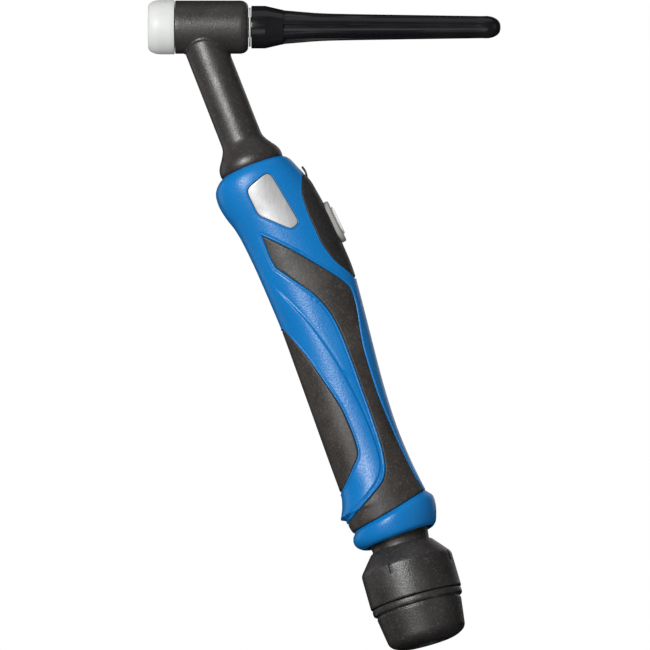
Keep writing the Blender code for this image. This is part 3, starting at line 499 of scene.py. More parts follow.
def rear_at(angle, lift=0.0):
    """The rear edge as (s, angle), moved up the handle by lift. The edge's place and the
    skin's reach depend on each other, so they are worked out in turns."""
    s = np.full(angle.shape, COLLAR_RINGS[0][2])
    for _ in range(8):
        s = rear_edge(skin(s, angle)[:, 0])
    return np.stack([s - lift, angle], axis=1)


REAR = rear_at(np.linspace(LIMIT, pi - LIMIT, 90))
FRONT_EDGE = on_skin(smooth_path(SIDE_GRIP_FRONT))
FRONT_EDGE = np.vstack([FRONT_EDGE, rear_at(np.array([GRIP_TURN]))])
BACK_EDGE = on_skin(np.vstack([smooth_path(SIDE_GRIP_BACK[:3], 0.5)[:-1],
                               smooth_path(SIDE_GRIP_BACK[2:])]))
BACK_EDGE = np.vstack([BACK_EDGE, [(239.2, 0.09), (239.6, LIMIT)]])
REAR_PART = REAR[(REAR[:, 1] < GRIP_TURN) & (REAR[:, 1] > LIMIT)]
GRIP_LOOP = np.vstack([FRONT_EDGE, REAR_PART[::-1], [(REAR[0, 0], LIMIT)], BACK_EDGE[::-1]])
PALM_LINE = on_skin(smooth_path(PALM_GRIP))
PALM_LINE = np.vstack([[(145.3, LIMIT)], PALM_LINE, [(225.2, LIMIT)]])
COVER_LINE = on_skin(smooth_path(COVER))
COVER_LINE = np.vstack([[(81.2, pi - LIMIT)], COVER_LINE, [(135.2, pi - LIMIT)]])
PLATE_LOOP = on_skin(rounded_loop(PLATE, 2.4, 0.5))
CREASE_LINE = on_skin(smooth_path(CREASE))
RIM_LINE = np.stack([np.full(60, RIM_S), np.linspace(LIMIT, pi - LIMIT, 60)], axis=1)


def closed_by(line, end):
    """A region's outline from an open line, closed along the joint at angle end."""
    return np.vstack([line, [(line[-1, 0], end), (line[0, 0], end)]])


# An inlay's line, its region's outline, whether the line is a loop, its floor's height, its
# bead's height, width and groove, and how far from the line the mesh has rows of points
Region = namedtuple("Region", "line outline closed floor bead rows")
REGIONS = [
    Region(np.vstack([FRONT_EDGE[::-1], BACK_EDGE[1:]]), GRIP_LOOP, False, -1.8,
           (0.34, 1.1, 0.22), (0.14, 0.32, 0.55, 0.8, 1.02, 1.2, 1.4, 1.65, 2.0)),
    Region(PALM_LINE, closed_by(PALM_LINE, -PAST_JOINT), False, -1.8,
           (0.28, 0.95, 0.18), (0.12, 0.3, 0.5, 0.7, 0.87, 1.0, 1.18, 1.4, 1.8)),
    Region(COVER_LINE, closed_by(COVER_LINE, pi + PAST_JOINT), False, -2.2,
           (0.16, 0.6, 0.0), (0.12, 0.25, 0.42, 0.62, 0.9)),
    Region(PLATE_LOOP, PLATE_LOOP, True, -1.1,
           (0.2, 0.7, 0.1), (0.12, 0.25, 0.42, 0.6, 0.75, 0.95)),
]
FLOOR_ROW = 0.04            # the row of points just inside a line, where the floor starts


def offset_points(line, closed, distances):
    """Points beside a line of (s, angle) at those distances, without the crowded ones."""
    steps = surface_steps(line, closed)
    found = []
    for distance in distances:
        moved = line + steps * distance
        found.append(moved[distance_to(moved, line, closed) > abs(distance) * 0.93])
    return np.vstack(found)


def rear_drop(verts):
    """How far each (s, angle) point lies above the rear edge."""
    return rear_edge(skin(verts[:, 0], verts[:, 1])[:, 0]) - verts[:, 0]


SWELL, SWELL_REACH, SWELL_FADE, SWELL_END = 0.5, 9.5, 24, 237.3
CREASE_STEP, CREASE_GROOVE, CREASE_GROOVE_REACH = 1.0, 0.2, 0.8
RIM_ROUND, REAR_ROUND, JOINT_ROUND = (0.28, 0.9), (0.3, 0.8), (0.2, 0.45)   # drop, width
FLAT_HALF = 16              # about half the handle's width, to turn an angle into millimetres


def crease_lift(verts):
    """The swell of the shell behind the crease, and the small step in front of it."""
    s, angle = verts[:, 0], verts[:, 1]
    d = distance_to(verts, CREASE_LINE)
    fade = ramp((s - CREASE_LINE[0, 0]) / SWELL_FADE)
    behind = angle < np.interp(s, CREASE_LINE[:, 0], CREASE_LINE[:, 1])
    step = np.clip(1 - d / CREASE_STEP, 0, 1) ** 1.5
    lift = SWELL * fade * np.where(behind, bump(d / SWELL_REACH), step)
    groove = bump((d - CREASE_STEP) / CREASE_GROOVE_REACH)
    lift -= CREASE_GROOVE * fade * groove * ~behind
    return np.where((s < CREASE_LINE[0, 0]) | (s > SWELL_END), 0, lift)


def rounded_off(distance, edge):
    """Drop of a surface that is rounded off towards an edge, given (drop, width)."""
    return edge[0] * (1 - ramp(distance / edge[1]))


BEAD_END, LINE_DIP, LINE_REACH, GROOVE_REACH = 2.2, 0.1, 0.16, 0.24


def bead_lift(d, height, width, groove):
    """The raised bead beside an inlay, with a fine groove outside it."""
    lift = height * bump((d - width * 0.55) / (width * 0.6)) - LINE_DIP * bump(d / LINE_REACH)
    lift -= groove * bump((d - width * 1.17) / GROOVE_REACH)
    return lift * (d < BEAD_END)


def shell_lift(verts):
    """Height of a shell's surface over the handle's outline."""
    lift = np.zeros(len(verts))
    floor = np.zeros(len(verts), bool)
    for region in REGIONS:
        d = distance_to(verts, region.line, region.closed)
        lift = np.where(floor, lift, lift + bead_lift(d, *region.bead))
        inner = inside(verts, region.outline) & (d > FLOOR_ROW / 2)
        lift[inner] = region.floor
        floor |= inner
    to_joint = np.minimum(verts[:, 1], pi - verts[:, 1]) * FLAT_HALF
    change = crease_lift(verts) - rounded_off(verts[:, 0] - RIM_S, RIM_ROUND)
    change -= rounded_off(rear_drop(verts), REAR_ROUND) + rounded_off(to_joint, JOINT_ROUND)
    return lift + change * ~floor


def circle_points(s, angle, radius, centre):
    return np.stack([centre - radius * np.cos(angle), -radius * np.sin(angle), GRIP_S - s], axis=-1)


def shell_outside(verts):
    """The moulded surface, and past the rear edge the spigot that the collar sits on."""
    s, angle = verts[:, 0], verts[:, 1]
    body = skin(s, angle, shell_lift(verts))
    spigot = circle_points(s, angle, SPIGOT_R, BALL_U)
    return np.where((rear_drop(verts) < 0.02)[:, None], spigot, body)


BORE_FROM, BORE_OVER, SOCKET_FROM, SOCKET_OVER = 80, 5, 225.5, 9


def shell_inside(verts):
    """The bore: round at the rim, then the handle's own section, then the ball's socket."""
    s, angle = verts[:, 0], verts[:, 1]
    wall = skin(s, angle, -SHELL_WALL)
    rim = circle_points(s, angle, RIM_BORE, 0)
    reach = np.sqrt(np.maximum(SOCKET_R ** 2 - (s - BALL_S) ** 2, 40))
    socket = circle_points(s, angle, reach, BALL_U)
    inner = rim + (wall - rim) * ramp((s - BORE_FROM) / BORE_OVER)[:, None]
    return inner + (socket - inner) * ramp((s - SOCKET_FROM) / SOCKET_OVER)[:, None]


EDGE_STEP, NOTCH_STEP, NOTCH_GAP = 0.7, 0.12, 0.3


def at_angle(s, angle):
    """Points down the handle at one angle."""
    return np.stack([s, np.full(len(s), angle)], axis=1)


def shell_domain():
    """Boundary of half the handle, as (s, angle), with the switch's window left out."""
    edge = np.arange(RIM_S, SHELL_END, EDGE_STEP)
    front = pi - LIMIT
    reach = [pi - np.arcsin((WINDOW_HALF / section(s)[2]) ** (1 / FULLNESS))
             for s in (WINDOW_FROM, WINDOW_TO)]
    corners = np.array([(WINDOW_FROM, front), (WINDOW_FROM, reach[0]),
                        (WINDOW_TO, reach[1]), (WINDOW_TO, front)])
    end = RIM_LINE[::-1] + [SHELL_END - RIM_S, 0]
    above, below = edge[edge < WINDOW_FROM - NOTCH_GAP], edge[edge > WINDOW_TO + NOTCH_GAP]
    return np.vstack([RIM_LINE[:-1], at_angle(above, front), resampled(corners, NOTCH_STEP),
                      at_angle(below, front), end, at_angle(edge, LIMIT)[:0:-1]])


CREASE_ROWS = (0.12, 0.3, 0.55, 0.9, 1.4, 2.2)
REAR_ROWS, RIM_ROWS = (-0.05, 0.15, 0.35, 0.6, 1.0), (0.15, 0.35, 0.6, 0.9)
JOINT_ROWS = (0.008, 0.018, 0.028)
GRID_STEP, GRID_TURN, GRID_GAP, ROW_STEP, ROW_END = 0.95, 0.058, 0.5, 0.8, 242.5


def both_sides(distances):
    return distances + tuple(-distance for distance in distances)


def shell_points(lines, domain):
    """The shells' free mesh points: rows beside every feature, and a grid between them."""
    loose = []
    for region in REGIONS:
        beside = offset_points(region.line, region.closed, both_sides(region.rows))
        loose.append(beside[~inside(beside, region.outline)])
        floor = offset_points(region.line, region.closed, both_sides((FLOOR_ROW,)))
        loose.append(within(floor, region.outline))
    loose.append(offset_points(CREASE_LINE, False, both_sides(CREASE_ROWS)))
    loose += [rear_at(np.linspace(0.02, pi - 0.02, 90), lift) for lift in REAR_ROWS]
    loose += [RIM_LINE[1:-1] + [lift, 0] for lift in RIM_ROWS]
    down = np.arange(RIM_S + 0.5, ROW_END, ROW_STEP)
    for turn in JOINT_ROWS:
        loose += [at_angle(down, LIMIT + turn), at_angle(down, pi - LIMIT - turn)]
    grid = grid_points((RIM_S + 1, 0.04), (SHELL_END - 0.4, pi - 0.04), GRID_STEP, GRID_TURN)
    loose.append(grid[nearest(grid, np.vstack(loose + lines)) > GRID_GAP])
    points = within(np.vstack(loose), domain)
    return points[nearest(points, domain) > 0.03]


def make_shells(material):
    domain = shell_domain()
    lines = [REAR, CREASE_LINE] + [region.line for region in REGIONS if not region.closed]
    lines.append(np.vstack([PLATE_LOOP, PLATE_LOOP[:1]]))
    verts, faces = triangulated(domain, lines, shell_points(lines, domain))
    spots, faces = two_sided(shell_outside(verts), shell_inside(verts), faces)
    for side, suffix in ((1, "left"), (-1, "right")):
        add_piece("shell_" + suffix, spots * [1, side, 1], faces, HANDLE, "torch_body",
                  "handle_blue", material, ["handle_shell_" + suffix], 50)


def inset_loop(loop, distance):
    """A closed loop moved inwards, keeping only points that are really that far in."""
    steps = surface_steps(loop, True)
    moved = loop + steps * distance
    if not inside(moved[len(moved) // 2:][:1], loop)[0]:
        moved = loop - steps * distance
    return moved[(distance_to(moved, loop, True) > distance * 0.9) & inside(moved, loop)]


INLAY_ROWS, INLAY_ROUND = (0.1, 0.25, 0.45, 0.75, 1.2), 0.6


def inlay_mesh(loop, thick, edge, detail=1.1):
    """Verts and faces of a closed inlay in the handle's surface. Its top is rounded down by
    edge at its outline, and detail is the spacing of its points."""
    flat = resampled(np.vstack([loop, loop[:1]]) * FLATTEN, 0.55)[:-1]
    boundary = inset_loop(flat / FLATTEN, INSET)
    rows = within(offset_points(boundary, True, both_sides(INLAY_ROWS)), boundary)
    grid = within(grid_points(boundary.min(axis=0), boundary.max(axis=0), detail,
                              detail * 1.1 / FLATTEN[1]), boundary)
    grid = grid[nearest(grid, np.vstack([rows, boundary])) > detail * 0.5]
    verts, faces = triangulated(boundary, [], np.vstack([rows, grid]))
    fall = 1 - np.clip(distance_to(verts, boundary, True) / INLAY_ROUND, 0, 1)
    s, angle = verts[:, 0], verts[:, 1]
    top = skin(s, angle, -edge * (1 - np.sqrt(1 - fall ** 2)))
    return two_sided(top, skin(s, angle, -thick), faces)


def mirrored_loop(line, angle):
    """A closed loop from a line and its mirror image across an angle."""
    other = line[::-1] * [1, -1] + [0, 2 * angle]
    return np.vstack([line, other])


def make_inlays(rubber, silver):
    pad, pad_faces = inlay_mesh(GRIP_LOOP, 1.5, 0.35)
    plate, plate_faces = inlay_mesh(PLATE_LOOP, 0.8, 0.12, 1.4)
    for side, suffix in ((1, "left"), (-1, "right")):
        add_piece("grip_pad_" + suffix, pad * [1, side, 1], pad_faces, HANDLE, "torch_body",
                  "soft_black", rubber, ["side_grip_" + suffix], 45)
        add_piece("blank_plate_" + suffix, plate * [1, side, 1], plate_faces, HANDLE,
                  "torch_body", "plate_silver", silver, ["label_plate_" + suffix], 60)
    palm, palm_faces = inlay_mesh(mirrored_loop(PALM_LINE[1:-1], 0), 1.5, 0.35)
    add_piece("palm_pad", palm, palm_faces, HANDLE, "torch_body", "soft_black", rubber,
              ["palm_grip"], 45)


# ------------------------------------------------------------------ materials
class Look:
    """A Principled material whose colour, roughness and bump come from nodes."""

    def __init__(self, name, colour, rough, metallic=0.0, specular=0.5):
        self.material = bpy.data.materials.new(name)
        self.material.use_nodes = True
        self.nodes = self.material.node_tree.nodes
        self.links = self.material.node_tree.links
        self.shader = next(n for n in self.nodes if n.type == "BSDF_PRINCIPLED")
        self.shader.inputs["Metallic"].default_value = metallic
        self.shader.inputs["Specular IOR Level"].default_value = specular
        self.place = self.nodes.new("ShaderNodeTexCoord").outputs["Object"]
        self.colour = colour
        self.rough = rough
        self.normal = None

    def feed(self, value, socket):
        """Link an output to a socket, or set the socket to a number or colour."""
        if isinstance(value, tuple):
            socket.default_value = (*value, 1)
        elif isinstance(value, (int, float)):
            socket.default_value = value
        else:
            self.links.new(value, socket)

    def noise(self, scale, detail, stretch=None, roughness=0.5):
        """Noise with features about 1 / scale millimetres across, 0 to 1. stretch is a turn
        and a scale for each axis."""
        place = self.place
        if stretch:
            turn = self.nodes.new("ShaderNodeMapping")
            turn.inputs["Rotation"].default_value = stretch[0]
            turn.inputs["Scale"].default_value = stretch[1]
            self.links.new(place, turn.inputs["Vector"])
            place = turn.outputs["Vector"]
        node = self.nodes.new("ShaderNodeTexNoise")
        node.inputs["Scale"].default_value = scale / MM
        node.inputs["Detail"].default_value = detail
        node.inputs["Roughness"].default_value = roughness
        self.links.new(place, node.inputs["Vector"])
        return node.outputs["Fac"]

    def cells(self, scale):
        """Distance to the middle of round cells about 1 / scale millimetres across."""
        node = self.nodes.new("ShaderNodeTexVoronoi")
        node.inputs["Scale"].default_value = scale / MM
        self.links.new(self.place, node.inputs["Vector"])
        return node.outputs["Distance"]

    def spread(self, value, low, high, top=1.0):
        """0 where the value is at low, rising smoothly to top where it is at high."""
        node = self.nodes.new("ShaderNodeMapRange")
        node.interpolation_type = "SMOOTHSTEP"
        for name, number in (("From Min", low), ("From Max", high), ("To Max", top)):
            node.inputs[name].default_value = number
        self.links.new(value, node.inputs["Value"])
        return node.outputs["Result"]

    def math(self, kind, a, b):
        node = self.nodes.new("ShaderNodeMath")
        node.operation = kind
        for socket, value in zip(node.inputs, (a, b)):
            self.feed(value, socket)
        return node.outputs["Value"]

    def tint(self, mask, colour, amount):
        """Mix a colour in where the mask is high."""
        node = self.nodes.new("ShaderNodeMix")
        node.data_type = "RGBA"
        self.links.new(self.math("MULTIPLY", mask, amount), node.inputs["Factor"])
        self.feed(self.colour, node.inputs["A"])
        self.feed(colour, node.inputs["B"])
        self.colour = node.outputs["Result"]
        return self

    def mottle(self, scale, detail, low, high, colour, amount, roughness=0.5):
        """Mix a colour in at the peaks of a noise."""
        peaks = self.spread(self.noise(scale, detail, roughness=roughness), low, high)
        return self.tint(peaks, colour, amount)

    def roughen(self, mask, low, high, amount):
        """Add between 0 and amount to the roughness as the mask goes from low to high."""
        self.rough = self.math("ADD", self.rough, self.spread(mask, low, high, amount))
        return self

    def dull(self, scale, detail, low, high, amount):
        """Add roughness at the peaks of a noise."""
        return self.roughen(self.noise(scale, detail), low, high, amount)

    def bump(self, height, depth, strength):
        """Raise the surface by up to depth millimetres where height is 1."""
        node = self.nodes.new("ShaderNodeBump")
        node.inputs["Distance"].default_value = depth * MM
        node.inputs["Strength"].default_value = strength
        self.links.new(height, node.inputs["Height"])
        if self.normal:
            self.links.new(self.normal, node.inputs["Normal"])
        self.normal = node.outputs["Normal"]
        return self

    def grain(self, scale, detail, depth, strength, roughness=0.5):
        """Raise the surface by a noise."""
        return self.bump(self.noise(scale, detail, roughness=roughness), depth, strength)

    def edges(self, low, high):
        """High on convex edges, as a mask for painting highlights along them."""
        node = self.nodes.new("ShaderNodeNewGeometry")
        return self.spread(node.outputs["Pointiness"], low, high)

    def hollow_shade(self, low, high):
        """High in grooves and corners, as a mask for painting shade into them."""
        node = self.nodes.new("ShaderNodeNewGeometry")
        return self.spread(node.outputs["Pointiness"], high, low)

    def done(self, **sockets):
        inputs = self.shader.inputs
        for name, value in sockets.items():
            inputs[name.replace("_", " ")].default_value = value
        self.feed(self.colour, inputs["Base Color"])
        self.feed(self.math("MINIMUM", self.rough, 0.95), inputs["Roughness"])
        if self.normal:
            self.links.new(self.normal, inputs["Normal"])
        return self.material


def blue_plastic():
    look = Look("handle_blue_moulded", (0.0005, 0.118, 0.34), 0.27, specular=0.3)
    look.mottle(0.035, 2, 0.35, 0.7, (0.001, 0.13, 0.36), 0.45)
    look.mottle(1.0, 4, 0.52, 0.72, (0.004, 0.165, 0.42), 0.5, 0.7)
    # painted highlight: a brighter blue along convex edges
    look.tint(look.edges(0.53, 0.62), (0.03, 0.2, 0.5), 0.5)
    # painted shade: a deep blue in grooves and corners
    look.tint(look.hollow_shade(0.38, 0.47), (0.0005, 0.03, 0.12), 0.8)
    look.dull(0.05, 3, 0.3, 0.75, 0.08)
    look.roughen(look.spread(look.noise(1.1, 2), 0.45, 0.7), 0, 1, 0.1)
    look.grain(1.1, 3, 0.12, 0.75, 0.6)
    look.grain(0.22, 2, 0.12, 0.25)
    return look.done()


def grain_rubber(name, colour, rough, grain=1.0, depth=0.16, pale=(0.085, 0.074, 0.064)):
    look = Look(name, colour, rough, specular=0.45)
    look.mottle(0.06, 3, 0.4, 0.75, pale, 0.25)
    look.mottle(grain, 4, 0.5, 0.7, pale, 0.5, 0.7)
    look.mottle(grain * 0.7, 3, 0.58, 0.75, (0.008, 0.008, 0.009), 0.5)
    # painted highlight: the pale tone along convex edges
    look.tint(look.edges(0.53, 0.62), pale, 0.5)
    look.dull(0.12, 3, 0.35, 0.7, 0.12)
    look.dull(grain, 2, 0.4, 0.7, 0.1)
    look.grain(grain, 4, depth, 0.7, 0.65)
    look.bump(look.cells(grain * 0.8), depth * 0.4, 0.4)
    return look.done()


def satin_head():
    look = Look("head_cover_satin", (0.022, 0.0195, 0.0185), 0.34, specular=0.65)
    look.mottle(0.07, 4, 0.38, 0.7, (0.038, 0.034, 0.032), 0.4)
    look.mottle(0.9, 4, 0.52, 0.7, (0.085, 0.076, 0.07), 0.42, 0.7)
    # painted highlight: a lighter grey along convex edges
    look.tint(look.edges(0.52, 0.6), (0.08, 0.075, 0.072), 0.5)
    look.dull(0.1, 4, 0.35, 0.72, 0.12)
    look.dull(1.6, 3, 0.4, 0.7, 0.08)
    look.grain(0.95, 4, 0.17, 0.7, 0.65)
    look.grain(0.16, 3, 0.15, 0.2)
    return look.done()


def glossy_cap():
    look = Look("back_cap_phenolic", (0.007, 0.0065, 0.0078), 0.12, specular=0.6)
    look.mottle(0.05, 3, 0.4, 0.75, (0.013, 0.012, 0.0135), 0.6)
    # painted highlight: a lighter grey along convex edges
    look.tint(look.edges(0.52, 0.62), (0.05, 0.05, 0.053), 0.5)
    lines = look.noise(0.9, 3, stretch=((0, 0, 0), (0.05, 1, 1)))
    look.roughen(lines, 0.45, 0.75, 0.12)
    look.dull(0.08, 3, 0.35, 0.75, 0.08)
    look.grain(0.35, 2, 0.03, 0.25)
    look.bump(lines, 0.02, 0.3)
    return look.done()


def boot_plastic():
    look = Look("cable_boot_moulded", (0.019, 0.017, 0.016), 0.34, specular=0.68)
    look.mottle(0.07, 3, 0.4, 0.75, (0.045, 0.043, 0.042), 0.4)
    look.mottle(0.95, 4, 0.52, 0.7, (0.1, 0.093, 0.088), 0.45, 0.7)
    # painted highlight: a lighter grey along convex edges
    look.tint(look.edges(0.52, 0.6), (0.09, 0.09, 0.09), 0.55)
    look.dull(0.1, 3, 0.35, 0.7, 0.1)
    # painted shade: near black in grooves and corners
    look.tint(look.hollow_shade(0.36, 0.47), (0.004, 0.004, 0.004), 0.85)
    look.dull(1.7, 3, 0.4, 0.7, 0.08)
    look.grain(1.0, 4, 0.18, 0.75, 0.7)
    return look.done()


def white_ptfe():
    look = Look("insulator_ptfe", (0.5, 0.505, 0.49), 0.42, specular=0.4)
    look.mottle(0.09, 3, 0.45, 0.75, (0.45, 0.46, 0.455), 0.5)
    look.mottle(0.6, 4, 0.62, 0.75, (0.38, 0.38, 0.36), 0.2)
    rings = look.noise(0.7, 2, stretch=((0, 0, 0), (3.0, 0.06, 0.06)))
    look.roughen(rings, 0.4, 0.7, 0.12)
    look.bump(rings, 0.03, 0.35)
    look.grain(0.3, 3, 0.05, 0.2)
    return look.done(Subsurface_Weight=0.18, Subsurface_Radius=(0.004, 0.004, 0.0045),
                     Subsurface_Scale=0.6)


def pale_seal():
    look = Look("cap_seal_silicone", (0.5, 0.52, 0.47), 0.5, specular=0.4)
    look.mottle(0.5, 3, 0.45, 0.7, (0.38, 0.41, 0.36), 0.5)
    look.dull(0.6, 3, 0.4, 0.7, 0.15)
    look.grain(1.2, 3, 0.04, 0.4)
    return look.done()


def silver_plate():
    look = Look("plate_brushed", (0.4, 0.4, 0.4), 0.34, metallic=0.45, specular=0.5)
    lines = look.noise(1.6, 3, stretch=((0, radians(21), 0), (1, 1, 0.04)))
    look.tint(look.spread(lines, 0.35, 0.7), (0.34, 0.34, 0.34), 0.4)
    look.mottle(0.08, 3, 0.4, 0.7, (0.5, 0.5, 0.5), 0.5)
    look.roughen(lines, 0.35, 0.7, 0.14)
    look.dull(0.15, 3, 0.4, 0.7, 0.06)
    look.bump(lines, 0.012, 0.35)
    look.grain(2.4, 2, 0.012, 0.35)
    return look.done()


def hard_plastic(name, colour):
    look = Look(name, colour, 0.4)
    darker = tuple(c * 0.72 for c in colour)
    paler = tuple(min(c * 1.35 + 0.02, 1) for c in colour)
    look.mottle(0.1, 3, 0.4, 0.75, darker, 0.35)
    look.mottle(1.9, 3, 0.55, 0.75, paler, 0.15)
    # painted highlight: the paler tone along convex edges
    look.tint(look.edges(0.52, 0.6), paler, 0.5)
    # painted shade: the darker tone in grooves and corners
    look.tint(look.hollow_shade(0.36, 0.46), darker, 0.6)
    look.dull(0.15, 3, 0.35, 0.7, 0.1)
    look.grain(2.0, 3, 0.03, 0.45)
    return look.done()


def bare_metal(name, colour):
    look = Look(name, colour, 0.26, metallic=1.0)
    darker = tuple(c * 0.6 for c in colour)
    lines = look.noise(1.2, 3, stretch=((0, 0, 0), (1, 1, 0.08)))
    look.mottle(0.12, 4, 0.45, 0.75, darker, 0.4)
    look.tint(look.spread(lines, 0.4, 0.7), darker, 0.2)
    look.roughen(lines, 0.35, 0.7, 0.15)
    look.dull(0.2, 4, 0.4, 0.7, 0.12)
    look.bump(lines, 0.012, 0.4)
    return look.done()


# ------------------------------------------------------------------ head, neck and cap
HEAD_R, HEAD_FROM, HEAD_ROUND, HEAD_TO, HEAD_FLAT_R = 12.25, -10.2, 19.6, 23.4, 9.3
NECK_R, NECK_FROM, NECK_FINE_TO, FILLET, FILLET_END = 9.6, 2, 17, 0.8, 25
LEAN = acos(-HANDLE_DOWN.z)
# The neck's lower end, which swells into a bulb, and the plug that fits in the handle
NECK_BULB = [(55, NECK_R), (57.5, 9.8), (59, 10.35), (60.5, 11.15), (62.4, 12.35), (64.2, 13.65),
             (66, 14.6), (67.6, 15), (69.2, 15.05), (70.2, 14.85), (70.7, 14.3)]
NECK_PLUG = [(73.3, 14.3), (73.3, 12.5), (76.7, 12.5), (76.7, 14.3), (80, 14.3), (80, 0)]


def neck_growth(z, angle):
    """How much wider the neck is in the fillet where it meets the head."""
    s = GRIP_S - z
    if s >= FILLET_END:
        return 1
    across, ahead = NECK_R * sin(angle), NECK_R * cos(angle)
    meets = (ahead * sin(LEAN) + sqrt(HEAD_R ** 2 - across ** 2)) / cos(LEAN)
    gap = min(max((s - meets) / FILLET, 0), 1)
    return 1 + (1 - sqrt(1 - (1 - gap) ** 2)) * FILLET * 0.8 / NECK_R


def make_head(material):
    rear = [(HEAD_ROUND + (HEAD_TO - HEAD_ROUND) * sin(a),
             HEAD_FLAT_R + (HEAD_R - HEAD_FLAT_R) * cos(a)) for a in np.linspace(0, pi / 2, 14)]
    front = fillet([(HEAD_FROM, 0), (HEAD_FROM, HEAD_R), (0, HEAD_R)], 0.45)
    head = dense(front + rear + [(HEAD_TO, 0)], 1.6)
    cover = plain_piece("head_moulding", *turned_mesh(head, 160), HEAD)
    rows = np.concatenate((np.arange(NECK_FROM, NECK_FINE_TO, 0.3),
                           np.arange(NECK_FINE_TO, NECK_BULB[0][0], 1.5)))
    neck = [(NECK_FROM, 0)] + [(s, NECK_R) for s in rows]
    neck += [tuple(point) for point in smooth_path(NECK_BULB, 0.6)] + NECK_PLUG
    neck = turned_mesh([(GRIP_S - s, r) for s, r in neck], 160, neck_growth)
    joined(cover, plain_piece("neck", *neck, HANDLE), "UNION")
    joined(cover, rod("core_space", HEAD, 7.8, -7.2, 30), "DIFFERENCE")
    joined(cover, rod("spigot_recess", HEAD, 9.2, -12, -7.0), "DIFFERENCE")
    joined(cover, rod("tube_space", HANDLE, 4.3, GRIP_S - 82, GRIP_S - 4), "DIFFERENCE")
    clean = bmesh.new()
    clean.from_mesh(cover.data)
    bmesh.ops.remove_doubles(clean, verts=clean.verts, dist=0.004 * MM)
    bmesh.ops.dissolve_degenerate(clean, edges=clean.edges, dist=0.003 * MM)
    clean.to_mesh(cover.data)
    clean.free()
    settle(cover, "torch_body", material, ["head_cover"], 40)


NOSE_FROM, NOSE_LENGTH, NOSE_FLAT_R, NOSE_R = -22.6, 5.9, 9.4, 12.5
NOSE_REAR = [(-10.85, NOSE_R), (-10.6, 12.4), (-10.5, 12.15), (-10.5, 8.9), (-7.6, 8.9),
             (-7.3, 8.6), (-7.3, 5.4)]


def make_insulator(material):
    nose = [(NOSE_FROM + NOSE_LENGTH * (1 - cos(a)), NOSE_FLAT_R + (NOSE_R - NOSE_FLAT_R) * sin(a))
            for a in np.linspace(0, pi / 2, 20)]
    profile = [(-22.0, 5.4), (NOSE_FROM, 6.0)] + nose + NOSE_REAR
    lathe("nose_insulator", dense(profile, 1.5), HEAD, "torch_body", "ptfe_white", material,
          ["front_insulator"], 128)


CAP_COLLAR = [(24.8, 7), (24.8, 9.8, 0.35), (31.2, 9.8, 0.3), (38.3, 8.15, 0.5), (39.3, 8.0)]
CAP_PROFILE = [(39.4, 7.97), (47.4, 7.27), (56.6, 6.57), (70.4, 6.17), (98, 5.72), (132.5, 5.18)]
CAP_BORE = [(133, 0), (133, 3.1), (11.0, 3.1), (11.0, 4.3), (11.6, 4.6), (24.8, 4.6)]
CAP_START = [(39.4, 7.97), (39.5, 7.96), (39.6, 7.95)]
TIP_FROM, TIP_LENGTH, TIP_R = 132.5, 6.9, 5.18
SEAL = [(24.1, 5.2), (23.7, 5.2), (23.7, 9.0), (24.5, 9.0), (24.5, 5.2), (24.1, 5.2)]
FLUTES, FLUTE_WIDTH, FLUTE_TURN = 8, radians(30), radians(-97.5)
FLUTE_DEPTH = [(39.4, 0), (39.6, 0.17), (47, 0.145), (56.6, 0.11), (75, 0.085), (110, 0.07),
               (128, 0.05), (133, 0)]


def cap_shape(z, angle):
    """Flutes: shallow hollows between eight ribs, cut deepest where the cone ends."""
    depth = np.interp(z, *zip(*FLUTE_DEPTH))
    turn = ((angle - FLUTE_TURN) * FLUTES / (2 * pi)) % 1 * 2 * pi / FLUTES
    across = abs(turn - pi / FLUTES) / (FLUTE_WIDTH / 2)
    return 1 - depth * float(1 - ramp(np.array((across - 0.72) / 0.4)))


def make_cap(material, seal):
    barrel = [tuple(point) for point in smooth_path(CAP_PROFILE, 1.8)][1:]
    tip = [(TIP_FROM + TIP_LENGTH * sin(a), TIP_R * cos(a) ** 0.8)
           for a in np.linspace(0.05, pi / 2 - 0.02, 18)]
    profile = CAP_BORE + fillet(CAP_COLLAR, 0.3) + CAP_START + barrel + tip
    profile.append((TIP_FROM + TIP_LENGTH, 0))
    lathe("cap_moulding", profile, HEAD, "back_cap", "cap_phenolic", material, ["back_cap"],
          208, shape=cap_shape, sharp=35)
    lathe("seal_ring", fillet(SEAL, 0.18)[:-1], HEAD, "cap_carrier", "seal_pale", seal,
          ["cap_seal_ring"], 96)


# ------------------------------------------------------------------ collar, joint and boot
def collar_reach(ring, angle):
    """How far down the handle a ring of the collar is at an angle."""
    s_back, _, s_front, _, _, dip = ring
    return (s_back + s_front) / 2 + (s_back - s_front) / 2 * cos(angle) + dip * sin(angle) ** 2


def make_collar(material):
    rings = []
    for ring in smooth_path(COLLAR_RINGS, 0.55):
        back, front, half = ring[1], ring[3], ring[4]
        rings.append([((front - back) / 2 - cos(a) * (front + back) / 2, -half * sin(a),
                       GRIP_S - collar_reach(ring, a)) for a in circle(144)])
    for radius, s in ((COLLAR_MOUTH, 253.1), (COLLAR_MOUTH, COLLAR_LIP_S),
                      (COLLAR_BORE, COLLAR_LIP_S), (COLLAR_BORE, None)):
        rings.append([(BALL_U - radius * cos(a), -radius * sin(a),
                       GRIP_S - (s or collar_reach(COLLAR_RINGS[0], a))) for a in circle(144)])
    add_piece("collar_moulding", *skinned(rings, looped=True), HANDLE, "torch_body",
              "handle_blue", material, ["rear_collar"], 35)


BALL_FROM, BALL_TO = -0.624, 0.445      # the ball's visible band, as angles from its middle
SLEEVE = [(6.6, 13.9), (11.4, 13.35), (15.2, 13.35), (17.3, 15.0), (18.6, 15.0), (18.6, 10.4),
          (-9, 10.4), (-9, 12)]


def make_ball_joint(material):
    ball = [(BALL_R * sin(a), BALL_R * cos(a)) for a in np.linspace(BALL_FROM, BALL_TO, 26)]
    lathe("sleeve_moulding", ball + fillet(SLEEVE, 0.4)[1:-1], BOOT, "ball_sleeve",
          "boot_black", material, ["ball_sleeve"], 112)


